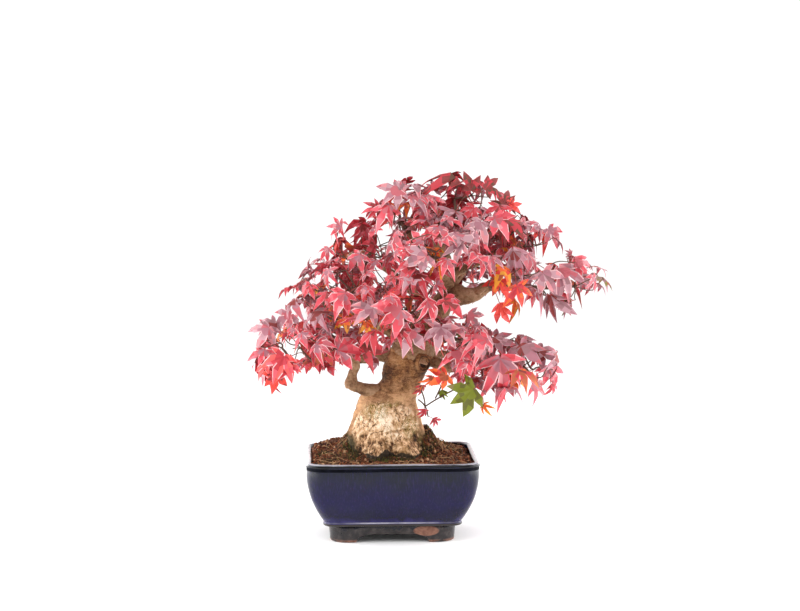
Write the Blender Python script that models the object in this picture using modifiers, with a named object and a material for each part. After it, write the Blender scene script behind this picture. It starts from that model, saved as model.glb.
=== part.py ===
"""A Japanese maple grown as a bonsai in autumn leaf, in a glazed pot on four corner feet.

The tables are in millimetres from the middle of the pot's foot, +Z up, -Y to the front.
The empty "maple" scales them to metres and sets the whole back so that the origin lies
on the ground, under the middle of the crown's box.
"""
import math
import random

import bmesh
import bpy
from mathutils import Matrix, Vector
from mathutils.bvhtree import BVHTree

MM = 0.001
GAP = 0.3                               # between two solids that touch
CROWN_BOX = ((-141.0, 216.0), (-121.0, 131.0), (108.0, 369.0))     # reach in X, Y and Z

# pot
POT_WIDTH, POT_DEPTH, POT_HEIGHT = 172.0, 138.0, 82.0
POT_CORNER = 18.0
CORNER_POINTS = 5
POT_WALL = 6.0
EDGE_EASE = 1.0                         # the rim's edges are cut back by this
FOOT_INSET = 24.0                       # from the rim in to the side of the foot
FOOT_HEIGHT = 17.0
FOOT_TAPER = 1.0
FOOT_WALL = 15.0
BOWL_INSET = 18.0                       # from the rim in to the bottom of the bowl
BOWL_BASE = 21.0                        # height where the bowl starts, above a square ledge
BOWL_BULGE = 2.2                        # the higher, the lower down the bowl turns in
LEDGE_STEP = 0.5
BOWL_FLOOR = 23.5
UNDERSIDE = 15.5
ARCH_HEIGHT = 8.0
ARCH_SPANS = (68.0, 40.0)               # between the feet, at the front and at the sides
ARCH_ROUNDING, HOLLOW_ROUNDING = 5.0, 6.0
DRAIN_RADIUS, DRAIN_OFFSET, DRAIN_SIDES = 7.0, 24.0, 16

# soil
SOIL_EDGE = 76.5                        # height where the soil meets the pot's wall
HEAP, HEAP_FALL = 25.0, 2.6             # rise of the soil at the trunk, and how fast it ends
HEAP_AT_FRONT = 0.3                     # share of that rise in front of the trunk
FRONT_LINE, FRONT_BLEND = -16.0, 5.0    # where the front's lower heap starts, and how softly
UNEVEN, UNEVEN_SLOW = 1.1, 0.7          # heights of the soil's two waves
UNEVEN_REACH = (76.0, 58.0)             # the waves die away at the wall
SOIL_SHARES = (0.97, 0.82, 0.66, 0.5, 0.3)          # rings of its surface, of its edge
WALL_HEIGHTS = (29, 38, 49, 62, SOIL_EDGE - 1.0)    # levels of the rings of the bowl's wall
SOIL_HEIGHTS = (BOWL_FLOOR + GAP, 38, SOIL_EDGE - 1.0)

# trunk: height, middle in X and Y, half width in X and Y
TRUNK_BASE = 79.0
TRUNK_LEVELS = (
    (79, -1, -3, 36, 36), (88, -1, -3, 38, 36), (97, -1, -2, 39, 34),
    (107, -2, -1, 38, 32), (117, -4, 0, 35, 30), (127, -5, 0, 33, 27),
    (136, -5, 0, 30, 25), (145, 3, 0, 23, 22), (156, 10, 0, 19, 20),
    (167, 14, 0, 20, 20), (177, 17, 0, 21, 20), (187, 20, 0, 19, 18),
)
TRUNK_SIDES = 24
ROOTS = 7                               # buttresses round the foot
ROOT_REACH = 0.16                       # how far they stand out, as a share of the radius
ROOT_RISE = 52.0                        # height over which they die away
ROOT_TURN = 0.8                         # radians
TRUNK_BUMP = 0.025

# limbs: parent, radius at the root and at the tip, points from root to tip
LIMBS = {
    "leader": ("trunk", 17, 6, ((18, 0, 176), (23, 2, 191), (36, 8, 209), (51, 10, 229),
                                (59, 8, 246), (56, 5, 265), (50, 0, 285), (48, 0, 302))),
    "knee_bough": ("leader", 9, 3.5, ((57, 8, 243), (72, 0, 240), (86, -3, 243),
                                      (97, -5, 250), (118, -5, 250), (138, -5, 249))),
    "low_left_bough": ("trunk", 8, 5.4, ((2, -2, 146), (-14, -6, 146), (-28, -10, 148),
                                         (-38, -12, 153))),
    "left_riser": ("low_left_bough", 5.2, 4.2, ((-37, -12, 150), (-37, -13, 162),
                                                (-34, -14, 173), (-42, -16, 183))),
    "left_shoulder": ("trunk", 8, 4.0, ((10, 4, 178), (-10, 7, 180), (-30, 10, 176),
                                        (-48, 14, 179))),
    "mid_left_bough": ("leader", 7, 3.4, ((20, 0, 190), (2, -10, 203), (-18, -16, 216),
                                          (-28, -18, 226))),
    "upper_left_bough": ("leader", 5.5, 3.0, ((44, 9, 220), (28, 8, 238), (10, 4, 256),
                                              (-8, 2, 270))),
    "front_bough": ("trunk", 7, 3.6, ((18, 0, 182), (18, -18, 189), (15, -34, 202),
                                      (13, -44, 214))),
    "low_right_bough": ("trunk", 9, 4.0, ((22, 0, 178), (40, -3, 175), (56, -7, 169),
                                          (76, -11, 171))),
    "front_right_bough": ("leader", 6, 3.4, ((30, 4, 202), (38, -10, 204), (46, -24, 203),
                                             (52, -34, 203))),
    "back_right_bough": ("trunk", 6.5, 3.6, ((18, 2, 180), (36, 20, 178), (50, 36, 177),
                                             (60, 46, 176))),
    "back_bough": ("trunk", 7, 3.6, ((18, 0, 183), (14, 20, 192), (10, 36, 202),
                                     (10, 48, 208))),
    "back_left_bough": ("leader", 6.5, 3.6, ((22, 2, 192), (8, 20, 202), (-8, 36, 212),
                                             (-20, 48, 218))),
    "high_back_right_bough": ("leader", 6, 3.2, ((48, 10, 226), (58, 26, 240),
                                                 (68, 40, 252), (76, 50, 260))),
    "top_left_bough": ("leader", 5, 3.0, ((56, 5, 265), (42, 2, 276), (28, -2, 291),
                                          (18, -2, 304))),
    "top_right_bough": ("leader", 4.6, 2.8, ((57, 6, 260), (74, 3, 268), (92, 0, 276),
                                             (104, 0, 284))),
    "high_front_bough": ("leader", 4.8, 3.0, ((59, 7, 248), (54, -10, 258), (46, -22, 268),
                                              (42, -30, 275))),
    "high_back_bough": ("leader", 4.8, 3.0, ((57, 6, 256), (57, 22, 268), (56, 34, 280),
                                             (56, 42, 288))),
    "orange_bough": ("knee_bough", 4.0, 2.6, ((84, -3, 242), (90, -14, 249),
                                              (98, -22, 256))),
}
LIMB_SIDES_RESOLUTION = 2
LIMB_STEP = 13.0
LIMB_TAPER = 0.8                        # under 1, a limb thins soonest near its root
THIN_LIMB = 6.0                         # a thinner root has a twig's bark

# masses of foliage: limb, middle, half lengths of its space, far tip, twigs, leaves, seed
MASSES = {
    "low_left_leaves": ("left_riser", (-90, -22, 191), (60, 48, 30), (-141, -22, 190), 6, 16, 11),
    "shoulder_leaves": ("left_shoulder", (-76, 58, 192), (52, 46, 28), (-108, 78, 186), 5, 13, 12),
    "mid_left_leaves": ("mid_left_bough", (-52, -24, 244), (54, 50, 36), (-100, -40, 240),
                        6, 16, 13),
    "upper_left_leaves": ("upper_left_bough", (-28, 4, 292), (40, 40, 30), (-58, -4, 304),
                          4, 11, 14),
    "front_leaves": ("front_bough", (12, -76, 240), (54, 46, 42), (12, -121, 232), 6, 16, 15),
    "low_right_leaves": ("low_right_bough", (118, -28, 180), (62, 48, 34), (174, -20, 160),
                         6, 17, 16),
    "front_right_leaves": ("front_right_bough", (62, -68, 202), (44, 38, 26), (84, -102, 196),
                           4, 11, 17),
    "back_right_leaves": ("back_right_bough", (92, 72, 176), (56, 48, 30), (136, 92, 166),
                          5, 13, 18),
    "back_leaves": ("back_bough", (12, 90, 214), (52, 42, 36), (16, 131, 206), 5, 13, 19),
    "back_left_leaves": ("back_left_bough", (-46, 68, 246), (54, 46, 34), (-92, 88, 238),
                         5, 13, 20),
    "high_back_right_leaves": ("high_back_right_bough", (104, 68, 270), (52, 46, 32),
                               (146, 92, 262), 5, 13, 21),
    "top_left_leaves": ("top_left_bough", (8, -8, 328), (46, 44, 34), (-22, -10, 342), 5, 16, 22),
    "top_leaves": ("leader", (64, 0, 334), (46, 46, 34), (58, -4, 369), 6, 16, 23),
    "top_right_leaves": ("top_right_bough", (126, 2, 302), (46, 46, 30), (168, 0, 292),
                         5, 14, 24),
    "high_front_leaves": ("high_front_bough", (40, -62, 290), (50, 42, 34), (40, -104, 286),
                          5, 15, 25),
    "high_back_leaves": ("high_back_bough", (52, 72, 308), (50, 44, 34), (50, 115, 300),
                         5, 13, 26),
    "orange_leaves": ("orange_bough", (112, -46, 264), (42, 36, 26), (132, -72, 252), 4, 10, 27),
    "far_right_leaves": ("knee_bough", (174, -6, 256), (44, 42, 32), (216, -4, 248), 5, 13, 28),
}
SPACE_MARGIN = 0.03                     # kept clear between two masses' spaces
LOBES_REACH = 1.3                       # how far out of its space the tips of a leaf may reach
DARTS = 14                              # candidates thrown for each twig's tip
TWIG_DEPTHS = (0.3, 0.75)               # how far out twigs end, and leaves have their hearts
LEAF_DEPTHS = (0.3, 0.98)
TRIES = 400                             # places tried for each leaf before it is left out
CHOICES = 8                             # places that suit it, from which it takes the freest
DIRECTNESS = 0.35                       # how much a tip shuns a long way back to the stem
TWIG_RADIUS = 1.05
TWIG_TIP_RADIUS = 0.95
TWIG_TAPER = 0.7
TWIG_REACH = 1.15                       # how far out of its space a twig may pass
PRISM_START, PRISM_END = 1.2, 0.6       # how far a twig runs on past its ends, in radii
STEM_LENGTH = 12.0
STEM_SHARE = 0.85                       # of its limb's tip radius
STALK_PLACES = (0.4, 0.7, 0.98)         # along each twig, where stalks may start

# leaves
LEAF_RADIUS = 32.0
LEAF_THICKNESS = 1.4
LEAF_LOBES = ((-94, 0.6), (-45, 0.9), (0, 1.0), (45, 0.9), (94, 0.6))
LEAF_SINUS = 0.47
LEAF_NECK, LEAF_NECK_ANGLE = 0.1, 158.0 # where the stalk leaves the blade
LEAF_DROOP = 0.24
LEAF_HANG, LEAF_LIFT = 0.85, 0.45       # how far blades turn down, and their faces up
LEAF_OUT, LEAF_SWAY = 0.2, 0.25         # how far they turn outwards, and their unevenness
OUT_RISE = 0.3                          # outwards is mostly level
LEAF_SIZES = (0.86, 1.08)
STALK_RANGE = (8.0, 30.0)
STALK_SUNK = 2.5                        # how far a stalk's end runs back inside the twig
STALK_FREE = 0.75                       # share of a stalk that must clear the twigs
STALK_SWING = 17.0                      # degrees, so that it clears the blade's back lobes
FAR_STALK = 14.0

COLOURS = {
    "glaze": ((0.035, 0.036, 0.085), 0.18),
    "soil": ((0.075, 0.035, 0.02), 0.95),
    "bark": ((0.36, 0.26, 0.17), 0.85),
    "twig_bark": ((0.20, 0.12, 0.08), 0.8),
    "red_leaf": ((0.62, 0.09, 0.13), 0.55),
    "orange_leaf": ((0.75, 0.14, 0.03), 0.55),
}


def clear_scene():
    for old in list(bpy.data.objects):
        bpy.data.objects.remove(old)


def new_collection(name, hidden=False):
    made = bpy.data.collections.new(name)
    bpy.context.scene.collection.children.link(made)
    made.hide_render = hidden
    return made


def new_material(name):
    colour, roughness = COLOURS[name]
    material = bpy.data.materials.new(name)
    material.use_nodes = True
    shader = material.node_tree.nodes["Principled BSDF"]
    shader.inputs["Base Color"].default_value = (*colour, 1.0)
    shader.inputs["Roughness"].default_value = roughness
    material.diffuse_color = (*colour, 1.0)
    return material


def new_object(name, mesh, collection, material=None):
    made = bpy.data.objects.new(name, mesh)
    collection.objects.link(made)
    if material:
        mesh.materials.clear()
        mesh.materials.append(material)
    return made


def mesh_from(name, bm):
    mesh = bpy.data.meshes.new(name)
    bm.to_mesh(mesh)
    bm.free()
    return mesh


def loft(name, rings):
    """A closed mesh through rings of equally many points, counter-clockwise seen from above."""
    bm = bmesh.new()
    rows = [[bm.verts.new(point) for point in ring] for ring in rings]
    for lower, upper in zip(rows, rows[1:]):
        for i in range(len(lower)):
            j = (i + 1) % len(lower)
            bm.faces.new((lower[i], lower[j], upper[j]))
            bm.faces.new((lower[i], upper[j], upper[i]))
    bm.faces.new(reversed(rows[0]))
    bm.faces.new(rows[-1])
    return mesh_from(name, bm)


def evaluated_mesh(obj):
    bpy.context.view_layer.update()
    graph = bpy.context.evaluated_depsgraph_get()
    return bpy.data.meshes.new_from_object(obj.evaluated_get(graph))


def keep_largest(mesh):
    """Drops the loose scraps and sealed hollows that a Boolean can leave."""
    bm = bmesh.new()
    bm.from_mesh(mesh)
    left = set(bm.verts)
    islands = []
    while left:
        edge_of_island = [left.pop()]
        island = list(edge_of_island)
        while edge_of_island:
            vertex = edge_of_island.pop()
            near = {edge.other_vert(vertex) for edge in vertex.link_edges} & left
            left -= near
            island.extend(near)
            edge_of_island.extend(near)
        islands.append(island)
    islands.sort(key=len)
    for island in islands[:-1]:
        bmesh.ops.delete(bm, geom=island, context="VERTS")
    bm.to_mesh(mesh)
    bm.free()


def apply_modifiers(obj):
    mesh = evaluated_mesh(obj)
    obj.modifiers.clear()
    keep_largest(mesh)
    obj.data = mesh


def cut(obj, cutter):
    modifier = obj.modifiers.new(cutter.name, "BOOLEAN")
    modifier.operation = "DIFFERENCE"
    modifier.object = cutter


def new_cutter(name, mesh, cutters):
    made = new_object(name, mesh, cutters)
    made.hide_render = True
    made.display_type = "WIRE"
    return made


# pot ------------------------------------------------------------------------------------

def rounded_rectangle(half_width, half_depth, corner, z, edge_points=0):
    """Counter-clockwise ring: an arc round each corner, and extra points along each side."""
    ring = []
    for quarter, (sx, sy) in enumerate(((1, 1), (-1, 1), (-1, -1), (1, -1))):
        for i in range(CORNER_POINTS):
            angle = math.radians(90 * (quarter + i / (CORNER_POINTS - 1)))
            ring.append((sx * (half_width - corner) + corner * math.cos(angle),
                         sy * (half_depth - corner) + corner * math.sin(angle), z))
    divided = []
    for i, point in enumerate(ring):
        divided.append(point)
        after = ring[(i + 1) % len(ring)]
        extra = edge_points if (i + 1) % CORNER_POINTS == 0 else 0
        for step in range(1, extra + 1):
            share = step / (extra + 1)
            divided.append((point[0] + (after[0] - point[0]) * share,
                            point[1] + (after[1] - point[1]) * share, z))
    return divided


def pot_ring(inset, z, corner=POT_CORNER, edge_points=0):
    return rounded_rectangle(POT_WIDTH / 2 - inset, POT_DEPTH / 2 - inset, corner, z, edge_points)


def bowl_inset(z):
    """The bowl's wall bulges: it leaves the base steeply and rises to the rim upright."""
    share = (POT_HEIGHT - z) / (POT_HEIGHT - BOWL_BASE)
    return BOWL_INSET * max(share, 0.0) ** BOWL_BULGE


def wall_ring(z, inset, edge_points=0):
    """The ring that lies this far inside the bowl's outer wall."""
    return pot_ring(bowl_inset(z) + inset, z, POT_CORNER - inset, edge_points)


def box_cutter(name, size, rounding, cutters):
    """A box with rounded edges, its middle on the ground under the pot's middle."""
    bm = bmesh.new()
    bmesh.ops.create_cube(bm, size=1.0)
    bmesh.ops.scale(bm, vec=size, verts=bm.verts)
    cutter = new_cutter(name, mesh_from(name, bm), cutters)
    bevel = cutter.modifiers.new("rounding", "BEVEL")
    bevel.width = rounding
    bevel.segments = 3
    return cutter


def drain_cutter(name, x, cutters):
    bm = bmesh.new()
    bmesh.ops.create_cone(bm, cap_ends=True, segments=DRAIN_SIDES, radius1=DRAIN_RADIUS,
                          radius2=DRAIN_RADIUS, depth=POT_HEIGHT / 2,
                          matrix=Matrix.Translation((x, 0, BOWL_FLOOR)))
    return new_cutter(name, mesh_from(name, bm), cutters)


def pot_rings():
    """Up the outside from the foot, over the rim, and down the inside to the bowl's floor."""
    ledge = BOWL_INSET - LEDGE_STEP
    rings = [pot_ring(FOOT_INSET, 0), pot_ring(FOOT_INSET - FOOT_TAPER, FOOT_HEIGHT)]
    rings += [pot_ring(ledge, FOOT_HEIGHT + LEDGE_STEP), pot_ring(ledge, BOWL_BASE)]
    rings += [wall_ring(z, 0) for z in (BOWL_BASE + LEDGE_STEP, *WALL_HEIGHTS)]
    rings += [wall_ring(POT_HEIGHT - EDGE_EASE, 0), wall_ring(POT_HEIGHT, EDGE_EASE)]
    rings += [wall_ring(POT_HEIGHT, POT_WALL - EDGE_EASE)]
    rings += [wall_ring(POT_HEIGHT - EDGE_EASE, POT_WALL)]
    return rings + [wall_ring(z, POT_WALL) for z in (*reversed(WALL_HEIGHTS), BOWL_FLOOR)]


def build_pot(parts, cutters, material):
    pot = new_object("pot", loft("pot", pot_rings()), parts, material)
    front, side = ARCH_SPANS
    hollow = [size - 2 * (FOOT_INSET + FOOT_WALL) for size in (POT_WIDTH, POT_DEPTH)]
    for name, size, rounding in (
        ("front_arch", (front, POT_DEPTH, 2 * ARCH_HEIGHT), ARCH_ROUNDING),
        ("side_arch", (POT_WIDTH, side, 2 * ARCH_HEIGHT), ARCH_ROUNDING),
        ("under_hollow", (*hollow, 2 * UNDERSIDE), HOLLOW_ROUNDING),
    ):
        cut(pot, box_cutter(name, size, rounding, cutters))
    for name, x in (("left_drain", -DRAIN_OFFSET), ("right_drain", DRAIN_OFFSET)):
        cut(pot, drain_cutter(name, x, cutters))
    apply_modifiers(pot)
    pot.data.shade_smooth()
    pot.data.set_sharp_from_angle(angle=math.radians(35))


# soil -----------------------------------------------------------------------------------

def soil_height(x, y):
    """Nearly level at the wall, heaped against the trunk's sides and back, with a slow
    unevenness."""
    _, _, _, trunk_x, trunk_y = TRUNK_LEVELS[2]
    out = max(math.hypot(x / trunk_x, y / trunk_y) - 1, 0)
    behind = 1 / (1 + math.exp((FRONT_LINE - y) / FRONT_BLEND))
    heap = HEAP * (HEAP_AT_FRONT + (1 - HEAP_AT_FRONT) * behind) * math.exp(-HEAP_FALL * out)
    waves = UNEVEN * math.sin(x * 0.23 + 1.0) * math.cos(y * 0.21)
    waves += UNEVEN_SLOW * math.sin(x * 0.11 - y * 0.31)
    inside = math.exp(-((x / UNEVEN_REACH[0]) ** 8 + (y / UNEVEN_REACH[1]) ** 8))
    return SOIL_EDGE + heap + waves * inside


def build_soil(parts, material, trunk_cutter):
    rings = [wall_ring(z, POT_WALL + GAP, 1) for z in SOIL_HEIGHTS]
    edge = rings[-1]
    for share in SOIL_SHARES:
        rings.append([(x * share, y * share, soil_height(x * share, y * share))
                      for x, y, _ in edge])
    soil = new_object("soil", loft("soil", rings), parts, material)
    cut(soil, trunk_cutter)
    apply_modifiers(soil)
    soil.data.shade_smooth()


# trunk and limbs ------------------------------------------------------------------------

def trunk_rings(grown=0.0):
    """Ovals at the trunk's levels, drawn out into buttresses that die away up the foot."""
    rings = []
    for z, x, y, half_x, half_y in TRUNK_LEVELS:
        flare = ROOT_REACH * max(0.0, 1.0 - (z - TRUNK_BASE) / ROOT_RISE) ** 1.5
        ring = []
        for i in range(TRUNK_SIDES):
            angle = 2 * math.pi * i / TRUNK_SIDES
            lobe = 0.5 + 0.5 * math.cos(ROOTS * angle + ROOT_TURN)
            bump = TRUNK_BUMP * math.sin(3 * angle + 0.09 * z)
            reach = 1.0 + flare * (lobe ** 2 - 0.3) + bump
            ring.append((x + (half_x * reach + grown) * math.cos(angle),
                         y + (half_y * reach + grown) * math.sin(angle), z))
        rings.append(ring)
    if grown:
        rings[0] = [(x, y, z - grown) for x, y, z in rings[0]]
        rings[-1] = [(x, y, z + grown) for x, y, z in rings[-1]]
    return rings


def smooth_path(points, step):
    """A Catmull-Rom curve through the points, with a point about every step."""
    points = [Vector(point) for point in points]
    ends = [points[0] * 2 - points[1], *points, points[-1] * 2 - points[-2]]
    path = []
    for before, start, end, after in zip(ends, ends[1:], ends[2:], ends[3:]):
        count = max(2, round((end - start).length / step))
        for i in range(count):
            t = i / count
            path.append(0.5 * (2 * start + (end - before) * t
                               + (2 * before - 5 * start + 4 * end - after) * t ** 2
                               + (3 * start - before - 3 * end + after) * t ** 3))
    path.append(points[-1])
    return path


def tube(name, path, root_radius, tip_radius, grown=0.0):
    """A tapering round limb along the path, as a closed mesh."""
    curve = bpy.data.curves.new(name, "CURVE")
    curve.dimensions = "3D"
    curve.bevel_depth = 1.0
    curve.bevel_resolution = LIMB_SIDES_RESOLUTION
    curve.use_fill_caps = True
    spline = curve.splines.new("POLY")
    spline.points.add(len(path) - 1)
    for i, (point, place) in enumerate(zip(spline.points, path)):
        share = i / (len(path) - 1)
        point.co = (*place, 1.0)
        point.radius = root_radius + (tip_radius - root_radius) * share ** LIMB_TAPER + grown
    holder = bpy.data.objects.new(name, curve)
    bpy.context.scene.collection.objects.link(holder)
    mesh = evaluated_mesh(holder)
    bpy.data.objects.remove(holder)
    bm = bmesh.new()
    bm.from_mesh(mesh)
    bmesh.ops.remove_doubles(bm, verts=bm.verts, dist=0.0005)
    bmesh.ops.recalc_face_normals(bm, faces=bm.faces)
    bm.to_mesh(mesh)
    bm.free()
    return mesh


def boxes_meet(one, other):
    """Whether two meshes' boxes come within a gap of each other."""
    for axis in range(3):
        a = [vertex.co[axis] for vertex in one.vertices]
        b = [vertex.co[axis] for vertex in other.vertices]
        if min(a) > max(b) + GAP or min(b) > max(a) + GAP:
            return False
    return True


def build_limbs(parts, cutters, bark, twig_bark):
    """The trunk and every limb, each cut clear of the ones before it. Returns the grown copies."""
    grown = {"trunk": new_cutter("trunk_room", loft("trunk_room", trunk_rings(GAP)), cutters)}
    trunk = new_object("trunk", loft("trunk", trunk_rings()), parts, bark)
    trunk.data.shade_smooth()
    for name, (_, root_radius, tip_radius, points) in LIMBS.items():
        path = smooth_path(points, LIMB_STEP)
        limb = new_object(name, tube(name, path, root_radius, tip_radius), parts,
                          twig_bark if root_radius < THIN_LIMB else bark)
        for room in grown.values():
            if boxes_meet(limb.data, room.data):
                cut(limb, room)
        apply_modifiers(limb)
        limb.data.shade_smooth()
        room_mesh = tube(f"{name}_room", path, root_radius, tip_radius, GAP)
        grown[name] = new_cutter(f"{name}_room", room_mesh, cutters)
    return grown


# foliage --------------------------------------------------------------------------------

def in_space(point, mass, margin=0.0):
    """How far out the point lies in the mass's space: 1 at its edge. Over 1 also where it is
    nearer the heart of another mass."""
    _, middle, halves, *_ = MASSES[mass]
    own = space_distance(point, middle, halves)
    for other, (_, centre, sizes, *_) in MASSES.items():
        if other != mass and space_distance(point, centre, sizes) < own + margin:
            return 2.0
    return own


def space_distance(point, middle, halves):
    return math.sqrt(sum(((p - m) / h) ** 2 for p, m, h in zip(point, middle, halves)))


def throw_darts(rng, mass, count, start):
    """Twig tips spread through the space: each is the candidate farthest from those before."""
    tips = []
    while len(tips) < count:
        best, best_room = None, -1.0
        for _ in range(DARTS):
            dart = random_spot(rng, mass, *TWIG_DEPTHS)
            room = min([(dart - tip).length for tip in tips] + [(dart - start).length])
            if room > best_room and in_space(dart, mass, SPACE_MARGIN) < 1.0:
                best, best_room = dart, room
        if best is not None:
            tips.append(best)
    tips.sort(key=lambda tip: (tip - start).length)
    return tips


def grow_twigs(start, way, tips):
    """Joins each tip to the twig point that gives the shortest, most direct way from the stem.
    Returns the points, and each one's parent."""
    points = [start, start + way * STEM_LENGTH]
    parents = [None, 0]
    lengths = [0.0, STEM_LENGTH]
    for tip in tips:
        reach = [(tip - point).length + DIRECTNESS * length for point, length in zip(points, lengths)]
        parent = reach.index(min(reach[1:]))
        points.append(tip)
        parents.append(parent)
        lengths.append(lengths[parent] + (tip - points[parent]).length)
    return points, parents


def twig_radii(parents, stem_radius):
    """Each twig is as thick as what it carries: its section is the sum of its branches'."""
    carried = [1.0] * len(parents)
    for i in range(len(parents) - 1, 0, -1):
        carried[parents[i]] += carried[i]
    return [min(stem_radius, TWIG_RADIUS * load ** 0.5) for load in carried]


def prism(name, start, end, radius, tip_radius):
    """A three-sided twig that runs on a little past both its ends."""
    way = end - start
    way.normalize()
    start = start - way * radius * PRISM_START
    end = end + way * tip_radius * PRISM_END
    bm = bmesh.new()
    turn = way.to_track_quat("Z", "Y").to_matrix().to_4x4()
    bmesh.ops.create_cone(bm, cap_ends=True, segments=3, radius1=radius, radius2=tip_radius,
                          depth=(end - start).length,
                          matrix=Matrix.Translation((start + end) / 2) @ turn)
    return mesh_from(name, bm)


def leaf_mesh():
    """A flat lens whose rim is drawn out into five lobes along +X, and into a stalk along -X."""
    bm = bmesh.new()
    outline = []
    for (angle, length), (next_angle, _) in zip(LEAF_LOBES, LEAF_LOBES[1:]):
        outline += [(angle, length), ((angle + next_angle) / 2, LEAF_SINUS)]
    outline += [LEAF_LOBES[-1], (LEAF_NECK_ANGLE, LEAF_NECK), (-LEAF_NECK_ANGLE, LEAF_NECK)]
    outline.sort()
    bmesh.ops.create_uvsphere(bm, u_segments=len(outline) + 1, v_segments=2, radius=1.0)
    rim = [vertex for vertex in bm.verts if abs(vertex.co.z) < 0.5]
    rim.sort(key=lambda vertex: math.atan2(vertex.co.y, vertex.co.x))
    *lobes, stalk_end = rim
    for vertex, (angle, length) in zip(lobes, outline):
        turn = math.radians(angle)
        reach = LEAF_RADIUS * length
        vertex.co = (reach * math.cos(turn), reach * math.sin(turn),
                     -LEAF_DROOP * LEAF_RADIUS * length ** 2)
    stalk_end.co = (-LEAF_RADIUS, 0, 0)
    for vertex in bm.verts:
        if vertex not in rim:
            vertex.co.z *= LEAF_THICKNESS / 2
    bm.verts.index_update()
    stalk_index = stalk_end.index
    mesh = mesh_from("leaf", bm)
    mesh["stalk_end"] = stalk_index
    return mesh


def leaf_frame(base, axis, normal, size):
    """Turns +X to the axis and +Z as near as it goes to the normal."""
    axis = axis.normalized()
    side = normal.cross(axis).normalized()
    up = axis.cross(side)
    turn = Matrix((axis, side, up)).transposed().to_4x4()
    return Matrix.Translation(base) @ turn @ Matrix.Scale(size, 4)


def random_vector(rng, spread):
    return Vector([rng.gauss(0, spread) for _ in range(3)])


def random_spot(rng, mass, nearest, farthest):
    """A point between two shares of the way out from the middle of the mass's space."""
    _, middle, halves, *_ = MASSES[mass]
    way = random_vector(rng, 1.0).normalized() * rng.uniform(nearest, farthest)
    return Vector([m + h * w for m, h, w in zip(middle, halves, way)])


def hanging_leaf(rng, leaf, heart, places, mass):
    """A leaf with its heart here, on a stalk from the nearest twig point, as a mesh in place.
    It follows its stalk outwards, hangs a little and shows its face to the sky. None where
    no twig is near, or where the stalk would meet the blade's back lobes."""
    root, back = min(places, key=lambda place: (place[0] - heart).length)
    stalk = heart - root
    if not STALK_RANGE[0] < stalk.length < STALK_RANGE[1]:
        return None
    _, middle, *_ = MASSES[mass]
    out = heart - Vector(middle)
    out.z = OUT_RISE * abs(out.z)
    out.normalize()
    axis = stalk.normalized() + out * LEAF_OUT + Vector((0, 0, -LEAF_HANG))
    facing = out + Vector((0, 0, LEAF_LIFT)) + random_vector(rng, LEAF_SWAY)
    frame = leaf_frame(heart, axis, facing, rng.uniform(*LEAF_SIZES))
    return leaf_in_place(leaf, frame, root + back * STALK_SUNK)


def leaf_in_place(leaf, frame, stalk_end):
    end = frame.inverted() @ stalk_end
    if abs(math.atan2(end.y, -end.x)) > math.radians(STALK_SWING):
        return None
    mesh = leaf.copy()
    mesh.vertices[mesh["stalk_end"]].co = end
    mesh.transform(frame)
    return mesh


def tree_of(mesh):
    points = [vertex.co for vertex in mesh.vertices]
    return BVHTree.FromPolygons(points, [tuple(face.vertices) for face in mesh.polygons])


def touches(mesh, others):
    tree = tree_of(mesh)
    return any(tree.overlap(other) for other in others)


def leaf_fits(mesh, heart, mass, others, twigs):
    """A leaf fits where its blade keeps to the mass's space, but for its lobes' tips, and it
    touches nothing."""
    _, middle, halves, *_ = MASSES[mass]
    spots = [vertex.co for vertex in mesh.vertices if (vertex.co - heart).length < LEAF_RADIUS * 1.1]
    if any(space_distance(spot, middle, halves) > LOBES_REACH for spot in spots):
        return False
    if any(not low < p < high for spot in spots for p, (low, high) in zip(spot, CROWN_BOX)):
        return False
    blade = [heart, *(heart.lerp(spot, 0.5) for spot in spots)]
    if any(in_space(spot, mass, SPACE_MARGIN) > 1.0 for spot in blade):
        return False
    return not touches(mesh, others) and not touches(without_stalk(mesh, heart), twigs)


def without_stalk(mesh, heart):
    blade = mesh.copy()
    stalk_end = blade.vertices[blade["stalk_end"]]
    stalk_end.co = heart.lerp(stalk_end.co, STALK_FREE)
    return blade


def twig_fits(mesh, start, end, mass, others):
    spots = [start.lerp(end, share) for share in (0.25, 0.5, 0.75, 1.0)]
    if any(in_space(spot, mass, SPACE_MARGIN) > TWIG_REACH for spot in spots):
        return False
    return not touches(mesh, others)


def far_leaf(leaf, mass):
    """The leaf whose middle lobe ends at the mass's far tip, and the twig tip that it needs."""
    _, middle, _, far, *_ = MASSES[mass]
    axis = (Vector(far) - Vector(middle)).normalized()
    frame = leaf_frame(Vector(far), axis, Vector((0, 0, 1)) + axis * 0.3, 1.0)
    frame.translation -= frame.to_3x3() @ Vector((LEAF_RADIUS, 0, -LEAF_DROOP * LEAF_RADIUS))
    root = frame @ Vector((-FAR_STALK, 0, 0))
    return leaf_in_place(leaf, frame, root), root


def fuse(stem, pieces):
    """Joins the collection's objects to the stem as one solid, and removes them."""
    join = stem.modifiers.new("join", "BOOLEAN")
    join.operation = "UNION"
    join.operand_type = "COLLECTION"
    join.collection = pieces
    join.solver = "MANIFOLD"
    apply_modifiers(stem)
    for piece in list(pieces.objects):
        bpy.data.objects.remove(piece)


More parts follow.
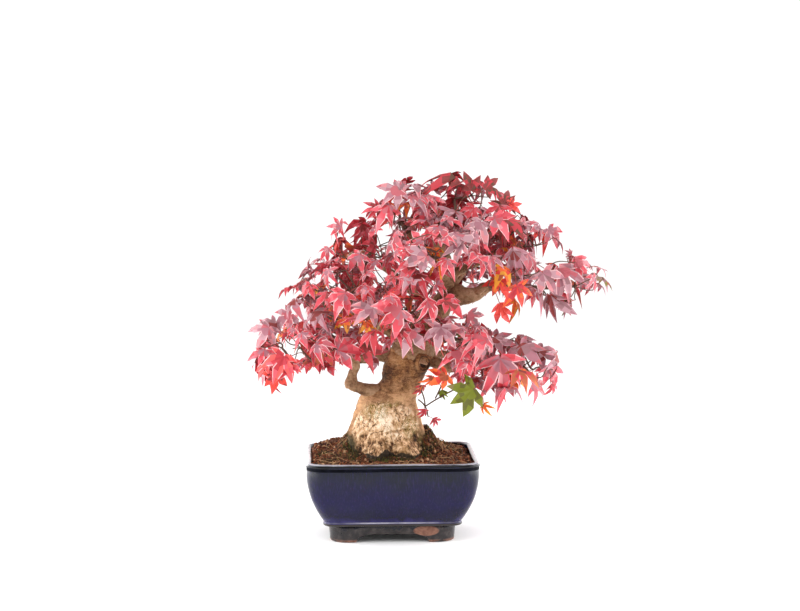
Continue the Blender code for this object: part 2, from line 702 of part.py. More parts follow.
def grow_leaves(rng, mass, leaf, places, count, pieces, others):
    """Leaves thrown into the space one after another, each where it crosses nothing, and of
    the places that suit it the one farthest from the leaves before."""
    twigs = [tree_of(twig.data) for twig in pieces.objects if "twig" in twig.name]
    hearts = [Vector(MASSES[mass][3])]
    for _ in range(count):
        best, best_room = None, 0.0
        fitting = 0
        for _ in range(TRIES):
            heart = random_spot(rng, mass, *LEAF_DEPTHS)
            mesh = hanging_leaf(rng, leaf, heart, places, mass)
            if not mesh or not leaf_fits(mesh, heart, mass, others, twigs):
                continue
            room = min((heart - other).length for other in hearts)
            if room > best_room:
                best, best_room = (heart, mesh), room
            fitting += 1
            if fitting == CHOICES:
                break
        if best:
            hearts.append(best[0])
            new_object(f"{mass}_leaf", best[1], pieces)
            others.append(tree_of(best[1]))


def grow_mass_twigs(mass, nodes, parents, radii, pieces, placed):
    """The twigs that keep to the mass's space and meet nothing. Returns the places along them
    where stalks may start, each with the way back down its twig."""
    places = []
    bare = set()
    for i in range(2, len(nodes)):
        start, end = nodes[parents[i]], nodes[i]
        mesh = prism(f"{mass}_twig", start, end, radii[i], max(radii[i] * TWIG_TAPER, TWIG_TIP_RADIUS))
        if parents[i] in bare or not twig_fits(mesh, start, end, mass, placed):
            bare.add(i)
            continue
        new_object(f"{mass}_twig", mesh, pieces)
        back = (start - end).normalized()
        places += [(start.lerp(end, share), back) for share in STALK_PLACES]
    return places


def build_mass(mass, leaf, parts, pieces, placed, material):
    """One stem, its twigs and their leaves, joined into one solid."""
    limb, _, _, _, twigs, leaves, seed = MASSES[mass]
    _, _, tip_radius, points = LIMBS[limb]
    rng = random.Random(seed)
    end, before = Vector(points[-1]), Vector(points[-2])
    way = (end - before).normalized()
    start = end + way * GAP
    far_mesh, far_root = far_leaf(leaf, mass)
    tips = throw_darts(rng, mass, twigs - 1, start) + [far_root]
    nodes, parents = grow_twigs(start, way, tips)
    radii = twig_radii(parents, tip_radius * STEM_SHARE)
    radius = radii[1]
    stem_mesh = prism(mass, start + way * radius * PRISM_START, nodes[1], radius, radius * 0.8)
    stem = new_object(mass, stem_mesh, parts)
    places = grow_mass_twigs(mass, nodes, parents, radii, pieces, placed)
    new_object(f"{mass}_leaf", far_mesh, pieces)
    grow_leaves(rng, mass, leaf, places, leaves - 1, pieces, placed + [tree_of(far_mesh)])
    fuse(stem, pieces)
    stem.data.materials.clear()
    stem.data.materials.append(material)
    placed.append(tree_of(stem.data))


def build():
    clear_scene()
    parts = new_collection("maple_bonsai")
    cutters = new_collection("cutters", hidden=True)
    pieces = new_collection("pieces", hidden=True)
    materials = {name: new_material(name) for name in COLOURS}
    build_pot(parts, cutters, materials["glaze"])
    rooms = build_limbs(parts, cutters, materials["bark"], materials["twig_bark"])
    build_soil(parts, materials["soil"], rooms["trunk"])
    placed = [tree_of(room.data) for room in rooms.values()]
    leaf = leaf_mesh()
    for mass in MASSES:
        colour = "orange_leaf" if mass.startswith("orange") else "red_leaf"
        build_mass(mass, leaf, parts, pieces, placed, materials[colour])
    maple = bpy.data.objects.new("maple", None)
    parts.objects.link(maple)
    maple.scale = (MM, MM, MM)
    maple.location = [-(low + high) / 2 * MM for low, high in CROWN_BOX[:2]] + [0]
    for obj in parts.objects:
        if obj is not maple:
            obj.parent = maple


build()
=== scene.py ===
import math
from collections import namedtuple

import bpy
import numpy as np
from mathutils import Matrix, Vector


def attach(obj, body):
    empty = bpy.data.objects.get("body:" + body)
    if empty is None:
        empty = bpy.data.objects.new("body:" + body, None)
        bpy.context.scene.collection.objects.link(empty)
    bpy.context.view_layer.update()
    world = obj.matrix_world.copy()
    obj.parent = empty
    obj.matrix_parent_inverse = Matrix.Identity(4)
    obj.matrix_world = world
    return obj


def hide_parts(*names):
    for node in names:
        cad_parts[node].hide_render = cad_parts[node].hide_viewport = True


# A Japanese maple grown as a bonsai in autumn leaf, in a dark blue glazed pot.
# The tables are in millimetres from the middle of the pot's foot, +Z up, -Y to the front;
# place() sets them into the frame's metres.

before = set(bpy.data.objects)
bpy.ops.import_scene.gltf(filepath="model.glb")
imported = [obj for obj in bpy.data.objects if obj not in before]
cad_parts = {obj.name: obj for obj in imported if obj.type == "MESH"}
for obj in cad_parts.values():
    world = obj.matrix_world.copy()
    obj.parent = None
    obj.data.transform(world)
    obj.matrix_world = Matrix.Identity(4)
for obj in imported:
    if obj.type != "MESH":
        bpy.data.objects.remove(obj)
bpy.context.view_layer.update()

MM = 0.001
POT_MIDDLE = np.array([-0.0375, -0.005, 0.0])

# view
TARGET = np.array((9.0, 0.0, 231.0))
VIEW_AZIMUTH, VIEW_ELEVATION, VIEW_DISTANCE = -2.5, 5.5, 1900.0
LENS, SENSOR = 85.5, 36.0

# surroundings: their tilt in degrees, and the level and strength at either end of the dim part
WORLD_TILT, WORLD_LEVELS, WORLD_STRENGTHS = -32.0, (-0.85, -0.25), (0.3, 1.12)
FLOOR_REACH = 4000.0
# banks of light: name, place and target in metres, width, height and power in watts
TREE = (0.0, 0.0, 0.2)
BANKS = (
    ("key_bank", (-0.15, -1.0, 1.7), TREE, 2.0, 0.8, 13.0),
    ("left_strip", (-1.45, 0.3, 0.35), TREE, 1.5, 0.5, 8.0),
    ("right_strip", (1.45, 0.3, 0.35), TREE, 1.5, 0.5, 6.0),
    ("left_floor_bank", (-0.66, 0.1, 0.25), (-0.66, 0.1, 0.0), 0.4, 1.3, 9.5),
    ("right_floor_bank", (0.64, 0.1, 0.25), (0.64, 0.1, 0.0), 0.4, 1.3, 10.5),
)

# pot
POT_WIDTH, POT_DEPTH, POT_HEIGHT = 172.0, 138.0, 82.0
POT_CORNER = 18.0
POT_WALL = 6.0
FOOT_INSET, FOOT_HEIGHT, FOOT_WALL = 24.0, 17.0, 15.0
BOWL_INSET, BOWL_BASE, BOWL_FLOOR, BOWL_BULGE = 18.0, 21.0, 23.5, 2.2
LIP, LIP_UNDERCUT = 2.8, 1.0            # radius of the rolled lip, and the hollow below it
LIP_HOLLOW_FOOT, LIP_HOLLOW_RISE = 58.0, 18.0
INNER_LIP_DROP, INNER_WALL_TOP = 2.0, 3.5
UNDER_LIP_ROWS = slice(41, 45)          # rows of the bowl's profile in the lip's shadow
BEAD_OUT, BEAD_HEIGHT = 1.2, 19.2       # the bead over the foot
BEAD_HALF_WIDTH, BEAD_HALF_HEIGHT = 1.6, 1.9
WALL_FOOT = 22.2
WAVER, WAVER_SIZE, LIP_WAVER, LIP_WAVER_SIZE = 0.004, 34.0, 0.5, 26.0
BOWL_LEAST_CORNER, FOOT_LEAST_CORNER = 8.0, 4.0
UNDERSIDE = 15.5
# the foot from its ledge down and in: inset, share of the way up to the ledge, and lift
FOOT_PROFILE = (
    (-1.2, 1.0, 0.0), (-1.0, 0.8, 0.0), (-0.6, 0.6, 0.0), (-0.3, 0.4, 0.0), (0.0, 0.2, 0.0),
    (0.1, 0.0, 1.6), (0.5, 0.0, 0.7), (1.3, 0.0, 0.15), (2.4, 0.0, 0.0),
    (FOOT_WALL - 2.0, 0.0, 0.0), (FOOT_WALL - 0.6, 0.0, 0.6), (FOOT_WALL, 0.0, 2.0),
    (FOOT_WALL, 0.5, 1.0), (FOOT_WALL + 0.5, 1.0, -1.3),
)
ARCH_HEIGHT = 8.0
ARCH_SPANS = (74.0, 44.0)
ARCH_STEEP, ARCH_GENTLE = 4.5, 11.0     # lengths of an arch end's two slopes
ARCH_STEEP_SHARE, ARCH_GENTLE_START = 0.62, 0.3
BARE_CLAY = ((33.0, -45.0, 11.8), (15.0, 12.0, 6.2))
ARC_POINTS, SIDE_POINTS = 14, 44        # in each corner, and along each side

# soil
SOIL_EDGE, SOIL_FLOOR, SOIL_GAP = 76.5, 40.0, 0.3
SOIL_RINGS, SOIL_EYE = 74, 0.25         # the innermost ring's share of the outermost
SPOT_GAP = 0.8                          # between the wall and the outermost crumbs
HEAP, HEAP_FALL, HEAP_AT_FRONT = 25.0, 2.6, 0.3
# mounds on the soil: middle, reach both ways, height
MOUNDS = ((40, 8, 12, 14, 8.0), (-43, 8, 10, 14, 9.5), (-62, 26, 22, 11, 7.0),
          (50, 28, 16, 10, 3.0), (-52, 46, 30, 11, 10.5), (44, 46, 24, 11, 8.5))
FRONT_LINE, FRONT_BLEND = -16.0, 5.0
CRUMBS, CRUMB_SHARES = 3800, (0.48, 0.36, 0.16)
FIBRES, FIBRE_ROWS, FIBRE_SIDES = 260, 8, 3
# beds of moss: middle and spread both ways, and blades
MOSS_BEDS = ((-43, -8, 5, 9, 800), (-38, -24, 4, 5, 420), (32, -20, 4, 6, 420),
             (40, -4, 4, 7, 320), (-8, -40, 8, 2.5, 350), (14, -39, 6, 2, 160),
             (-60, -24, 8, 6, 200), (-66, 6, 6, 6, 160), (58, 22, 8, 8, 200),
             (0, 44, 12, 6, 400))
MOSS_SHARES, MOSS_FOOT = (0.45, 0.35, 0.2), 0.42
CRUMB_FINISHES = (("red_crumb", (82, 39, 16), (148, 86, 48)),
                  ("dark_crumb", (26, 11, 4), (84, 48, 26)),
                  ("pale_crumb", (136, 94, 60), (208, 164, 126)))
FIBRE_FINISHES = (("straw", (190, 150, 106), 0.8), ("rootlet", (92, 58, 38), 0.85))
MOSS_FINISHES = (("moss_dark", (40, 36, 16), 0.9), ("moss_brown", (84, 62, 28), 0.9),
                 ("moss_green", (106, 108, 34), 0.9))

# trunk: height, middle in X and Y, half width in X and Y
TRUNK_LEVELS = np.array((
    (79, -1, -3, 36, 36), (88, -2, -3, 37, 36), (97, -4, -2, 37, 34),
    (107, -5, -1, 36, 32), (117, -5, 0, 34, 30), (127, -5, 0, 32, 27),
    (136, -5, 0, 29, 25), (145, 3, 0, 23, 22), (156, 11, 0, 20, 20),
    (167, 15, 0, 22, 20), (177, 18, 0, 23, 20), (187, 20, 0, 19, 18),
), float)
ROOTS, ROOT_REACH, ROOT_RISE, ROOT_TURN = 7, 0.16, 52.0, 0.8
BARK_ROWS, BARK_COLUMNS = ((182, 384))
DOME_ROWS, DOME_RISE = 8, 5.0
ROOT_POWER, LOBE_LEVEL = 1.5, 0.3
WAVE_REACH, WAVE_TURN = 0.025, 0.09     # of the slow twist that keeps the ovals uneven
BURL_MIDDLE, BURL_HALF, BURL_TOP, BURL_BLEND = -5.0, 36.5, 139.0, 5.0
BURL_LEFT, BURL_LEFT_LEAN, BURL_LEFT_TOP = -31.0, 0.26, 108.0
CRACK_HEIGHT, CRACK_SLOPE, CRACK_DEPTH = 107.5, 0.15, 3.2
SPLIT_LEAN, SPLIT_WIDTH, SPLIT_DEPTH = 0.12, 1.2, 2.4
TOE_HEIGHT, TOE_FALL, TOE_WIDTH, TOE_RISE = 93.0, 14.0, 6.0, 3.0
# painted shade in the trunk's colour, by its relief:
RELIEF_SHADE, HOLLOW_SHADE = 0.27, 0.11 # how much lighter the bark is for each millimetre
KNOT, KNOT_RADIUS = (31.5, -15.5, 174.5), 8.5
KNOT_RIDGE, KNOT_RING, KNOT_RING_WIDTH = 2.6, 0.9, 0.26
KNOT_PIT, KNOT_PIT_WIDTH = 1.6, 0.5
# swellings of the trunk, and hollows below 0: height, middle, reach along each axis
SWELLINGS = (
    (4.8, (-29, -2, 143.5), (10, 14, 4.5)), (-2.2, (-38, -2, 131), (9, 16, 8)),
    (2.2, (-6, -4, 162), (8, 14, 12)), (2.6, (-42, -4, 103), (9, 20, 9)),
    (-8.0, (26, -26, 101), (5.5, 16, 6.5)), (-7.0, (-7, -38, 79), (7, 20, 6)),
    (-4.0, (3, -38, 78), (4, 20, 4.5)),
)

# limbs: radius at the root and at the tip, and points from root to tip
Limb = namedtuple("Limb", "root_radius tip_radius points")
THICK_LIMB, THICK_SIDES, LIMB_SIDES = 8, 64, 36
LIMB_STEP = 1.1                         # between its rings
COLLAR, COLLAR_PLACE, COLLAR_WIDTH = 0.35, 0.12, 0.13
KNOBS, WRINKLES, ROUGHNESS = 0.14, 0.07, 0.03           # as shares of its radius
LIMBS = {
    "leader": Limb(17, 6, (
        (18, 0, 176), (23, 2, 191), (36, 8, 209), (51, 10, 229), (59, 8, 246), (56, 5, 265),
        (50, 0, 285), (48, 0, 302))),
    "knee_bough": Limb(9, 3.5, (
        (57, 8, 243), (72, 0, 240), (86, -3, 243), (97, -5, 250), (118, -5, 250),
        (138, -5, 249))),
    "low_left_bough": Limb(8, 5.4, (
        (2, -2, 146), (-14, -6, 146), (-28, -10, 148), (-40, -12, 153))),
    "left_riser": Limb(5.2, 4.2, (
        (-39.5, -12, 150), (-39.5, -13, 162), (-36, -14, 173), (-42, -16, 183))),
    "left_shoulder": Limb(8, 4.0, (
        (10, 4, 178), (-10, 7, 180), (-30, 10, 176), (-48, 14, 179))),
    "mid_left_bough": Limb(7, 3.4, (
        (20, 0, 190), (2, -10, 203), (-18, -16, 216), (-28, -18, 226))),
    "upper_left_bough": Limb(5.5, 3.0, (
        (44, 9, 220), (28, 8, 238), (10, 4, 256), (-8, 2, 270))),
    "front_bough": Limb(7, 3.6, (
        (18, 0, 182), (18, -18, 189), (15, -34, 202), (13, -44, 214))),
    "low_right_bough": Limb(7.5, 4.0, (
        (22, 3, 178), (40, 2, 175), (56, -5, 169), (76, -11, 171))),
    "front_right_bough": Limb(6, 3.4, (
        (30, 4, 202), (38, -10, 204), (46, -24, 203), (52, -34, 203))),
    "back_right_bough": Limb(6.5, 3.6, (
        (18, 2, 180), (36, 20, 178), (50, 36, 177), (60, 46, 176))),
    "back_bough": Limb(7, 3.6, ((18, 0, 183), (14, 20, 192), (10, 36, 202), (10, 48, 208))),
    "back_left_bough": Limb(6.5, 3.6, (
        (22, 2, 192), (8, 20, 202), (-8, 36, 212), (-20, 48, 218))),
    "high_back_right_bough": Limb(6, 3.2, (
        (48, 10, 226), (58, 26, 240), (68, 40, 252), (76, 50, 260))),
    "top_left_bough": Limb(5, 3.0, ((56, 5, 265), (42, 2, 276), (28, -2, 291), (18, -2, 304))),
    "top_right_bough": Limb(4.6, 2.8, (
        (57, 6, 260), (74, 3, 268), (92, 0, 276), (104, 0, 284))),
    "high_front_bough": Limb(4.8, 3.0, (
        (59, 7, 248), (54, -10, 258), (46, -22, 268), (42, -30, 275))),
    "high_back_bough": Limb(4.8, 3.0, (
        (57, 6, 256), (57, 22, 268), (56, 34, 280), (56, 42, 288))),
    "orange_bough": Limb(4.0, 2.6, ((84, -3, 242), (90, -14, 249), (98, -22, 256))),
}

# masses of foliage: the limb, the middle and half lengths of its space, its far tip, how many
# twigs and leaves it has, and the shares of its leaves' dresses
Mass = namedtuple("Mass", "limb middle half far twigs leaves dresses")
MASSES = {
    "low_left_leaves": Mass(
        "left_riser", (-90, -22, 191), (60, 48, 30), (-141, -22, 190), 24, 62,
        dict(rose=5, mauve=2, crimson=4, coral=2, rust=1)),
    "shoulder_leaves": Mass(
        "left_shoulder", (-76, 58, 192), (52, 46, 28), (-108, 78, 186), 18, 44,
        dict(rose=4, crimson=3, wine=2, orange=1)),
    "mid_left_leaves": Mass(
        "mid_left_bough", (-52, -24, 244), (54, 50, 36), (-100, -40, 240), 24, 62,
        dict(rose=5, mauve=3, crimson=4, dusk=2)),
    "upper_left_leaves": Mass(
        "upper_left_bough", (-28, 4, 292), (40, 40, 30), (-58, -4, 304), 16, 34,
        dict(rose=5, mauve=3, crimson=3, scarlet=1)),
    "front_leaves": Mass(
        "front_bough", (12, -76, 240), (54, 46, 42), (12, -121, 232), 24, 60,
        dict(rose=5, mauve=3, crimson=4, pink=1)),
    "low_right_leaves": Mass(
        "low_right_bough", (118, -28, 180), (62, 48, 34), (174, -20, 160), 24, 64,
        dict(rose=4, mauve=4, dusk=3, crimson=2, rust=1)),
    "front_right_leaves": Mass(
        "front_right_bough", (62, -68, 202), (44, 38, 26), (84, -102, 196), 16, 40,
        dict(rose=5, mauve=3, coral=2, crimson=2)),
    "back_right_leaves": Mass(
        "back_right_bough", (92, 72, 176), (56, 48, 30), (136, 92, 166), 18, 44,
        dict(rose=3, mauve=3, crimson=2, orange=1, green=1)),
    "back_leaves": Mass(
        "back_bough", (12, 90, 214), (52, 42, 36), (16, 131, 206), 18, 46,
        dict(rose=4, mauve=3, crimson=3, wine=1)),
    "back_left_leaves": Mass(
        "back_left_bough", (-46, 68, 246), (54, 46, 34), (-92, 88, 238), 18, 46,
        dict(rose=4, mauve=3, crimson=3, rust=1)),
    "high_back_right_leaves": Mass(
        "high_back_right_bough", (104, 68, 270), (52, 46, 32), (146, 92, 262), 18, 44,
        dict(rose=3, mauve=4, dusk=2, crimson=2)),
    "top_left_leaves": Mass(
        "top_left_bough", (8, -8, 328), (46, 44, 34), (-22, -10, 342), 20, 50,
        dict(mauve=4, rose=4, crimson=3, dusk=1)),
    "top_leaves": Mass(
        "leader", (64, 0, 334), (46, 46, 34), (58, -4, 369), 20, 50,
        dict(mauve=4, rose=3, wine=2, crimson=2, dusk=2)),
    "top_right_leaves": Mass(
        "top_right_bough", (126, 2, 302), (46, 46, 30), (168, 0, 292), 20, 46,
        dict(mauve=4, rose=3, dusk=3, wine=1, scarlet=1)),
    "high_front_leaves": Mass(
        "high_front_bough", (40, -62, 290), (50, 42, 34), (40, -104, 286), 22, 54,
        dict(mauve=4, rose=5, crimson=3, dusk=1)),
    "high_back_leaves": Mass(
        "high_back_bough", (52, 72, 308), (50, 44, 34), (50, 115, 300), 18, 46,
        dict(mauve=4, rose=4, crimson=2, wine=1)),
    "orange_leaves": Mass(
        "orange_bough", (112, -46, 264), (42, 36, 26), (132, -72, 252), 14, 30,
        dict(mauve=3, dusk=3, orange=3, rose=1, scarlet=1)),
    "far_right_leaves": Mass(
        "knee_bough", (174, -6, 256), (44, 42, 32), (216, -4, 248), 18, 38,
        dict(mauve=5, dusk=3, rose=3, olive=1)),
}
MASS_NAMES = list(MASSES)
# masses whose blades make one piece
BLADE_GROUPS = {
    "low": ("low_left_leaves", "shoulder_leaves", "low_right_leaves", "front_right_leaves",
            "back_right_leaves"),
    "middle": ("mid_left_leaves", "front_leaves", "back_leaves", "back_left_leaves",
               "orange_leaves", "far_right_leaves"),
    "high": ("upper_left_leaves", "high_back_right_leaves", "top_left_leaves", "top_leaves",
             "top_right_leaves", "high_front_leaves", "high_back_leaves"),
}
FIRST_SEED = 11
MIDDLES = np.array([mass.middle for mass in MASSES.values()], float)
HALVES = np.array([mass.half for mass in MASSES.values()], float)
CROWN_BOX = np.array(((-141, 216), (-121, 131), (108, 369)), float)

# Twigs and leaves are picked from pools of random places between two depths of the space,
# this far clear of the air.
TWIG_POOL, TWIG_DEPTHS, TWIG_CLEAR = 4000, (0.3, 0.82), 4.0
LEAF_POOL, LEAF_DEPTHS, LEAF_CLEAR = 9000, (0.3, 0.93), 5.0
CROWN_MARGINS = (4.0, 6.0)              # inside the crown's low and high limits
FAR_TWIG_MARGIN = 12.0                  # from the last leaf's heart to its twig
DIRECTNESS = 0.35                       # how much of the way back to the stem counts
TWIG_RADIUS, TWIG_TIP_RADIUS, TWIG_ROWS, TWIG_SIDES = 0.62, 0.5, 7, 6
TWIG_GROWTH = 0.55                      # power of the load that gives its radius
TWIG_STRAY, TWIG_LIFT = 0.25, (0, 0, 0.25)
TWIG_JOINTS = (3, 4, 5, 6)              # rows of a twig that stalks may come from
BOW = 0.33                              # stiffness of the bowed paths
STEM_LENGTH = 12.0
STALK_RANGE = (6.0, 27.0)
STALK_RADIUS, STALK_ROWS, STALK_SIDES = 0.42, 6, 4
LEAF_RADIUS, LEAF_SIZES, NARROW_SHARE = 21.0, (0.6, 1.15), 0.16
CROWN_HEART, CROWN_PULL = np.array((40, 0, 240)), 0.7
OUT_RISE, CROWN_RISE = 0.3, 0.25        # of ways outwards, which run flatter than they are
AXIS_STRAY, FACE_STRAY, ROLL = 0.25, 0.3, 0.5
SPRAY_SHARE = 0.5                       # of the leaves keep to their spray's dress
LEAF_SHARE = 0.91                       # of the leaves that would close every gap
MOST_IN_AIR = 0.09                      # of a leaf's points, so a lobe's tip at most
SHOWN_SHARE, SHOWN_DEPTH = 0.55, 12.0   # round a shown leaf's heart, and behind it
INNER_DEPTH = 0.55                      # leaves nearer a mass's heart are darker
INNER_DRESSES = {"wine": 3, "rust": 3, "crimson": 2, "orange": 2, "scarlet": 1, "dusk": 1,
                 "olive": 1}

# lobes of a leaf: angles, lengths, and half widths along them, as shares of the length
LOBES, LEAF_POINTS = 5, 77
LOBE_ANGLES = np.radians((-97.0, -47.0, 0.0, 47.0, 97.0))
LOBE_LENGTHS = np.array((0.62, 0.9, 1.0, 0.9, 0.62))
SINUS = 0.365
NECK, NECK_ANGLE = 0.1, math.radians(158.0)
BELLY, BELLY_WIDTH = 0.54, 0.21
TAPER, TAPER_WIDTH = 0.76, 0.126
RIM = 0.03                              # width of the pale edge, as a share of the length
NARROW_SPREAD, NARROW_WIDTH = 0.72, 0.7
BASE_STEP = 0.22                        # from a sinus to the midrib, where the palm's edge is
BASE_OFF, SINUS_OFF = 0.15, 0.2         # how far from a midrib these count as, for the fold

# Where air shows, in the plane of view: middle and half lengths.
SKY_GAPS = np.array((
    (90, 227, 24, 6), (124, 212, 20, 8), (160, 209, 24, 18), (190, 200, 24, 22),
    (156, 285, 12, 8), (27, 306, 5, 4), (-38, 303, 5, 6), (-5, 307, 6, 5),
    (20, 324, 5, 4), (-40, 334, 16, 16), (188, 170, 16, 28),
    (161, 324, 16, 13), (-21, 163, 14, 13), (-112, 268, 22, 16), (147, 135, 12, 10),
    (-75, 151, 30, 15), (200, 226, 18, 11), (4, 367, 16, 9), (-14, 351, 12, 8),
    (140, 326, 8, 7), (-152, 184, 14, 16), (-146, 165, 9, 14),
    (40, 355, 14, 5), (146, 218, 20, 14), (98, 236, 9, 8),
), float)
# Clearings, likewise, where only the leaves before the Y given last stay away.
CLEARINGS = np.array((
    (24, 171, 27, 22, 8), (74, 254, 20, 15, -2), (-38, 152, 9, 14, 0),
    (34, 178, 12, 14, 12), (126, 250, 15, 13, -45),
), float)
AIR = np.vstack([np.column_stack([SKY_GAPS, np.full(len(SKY_GAPS), np.inf)]), CLEARINGS])
# Places in the plane of view where air glints through the leaves, all of this radius.
GLINTS = np.array((
    (-55, 254), (-10, 261), (-12, 297), (60, 282), (132, 224), (-107, 190),
), float)
GLINT_RADIUS = 2.0
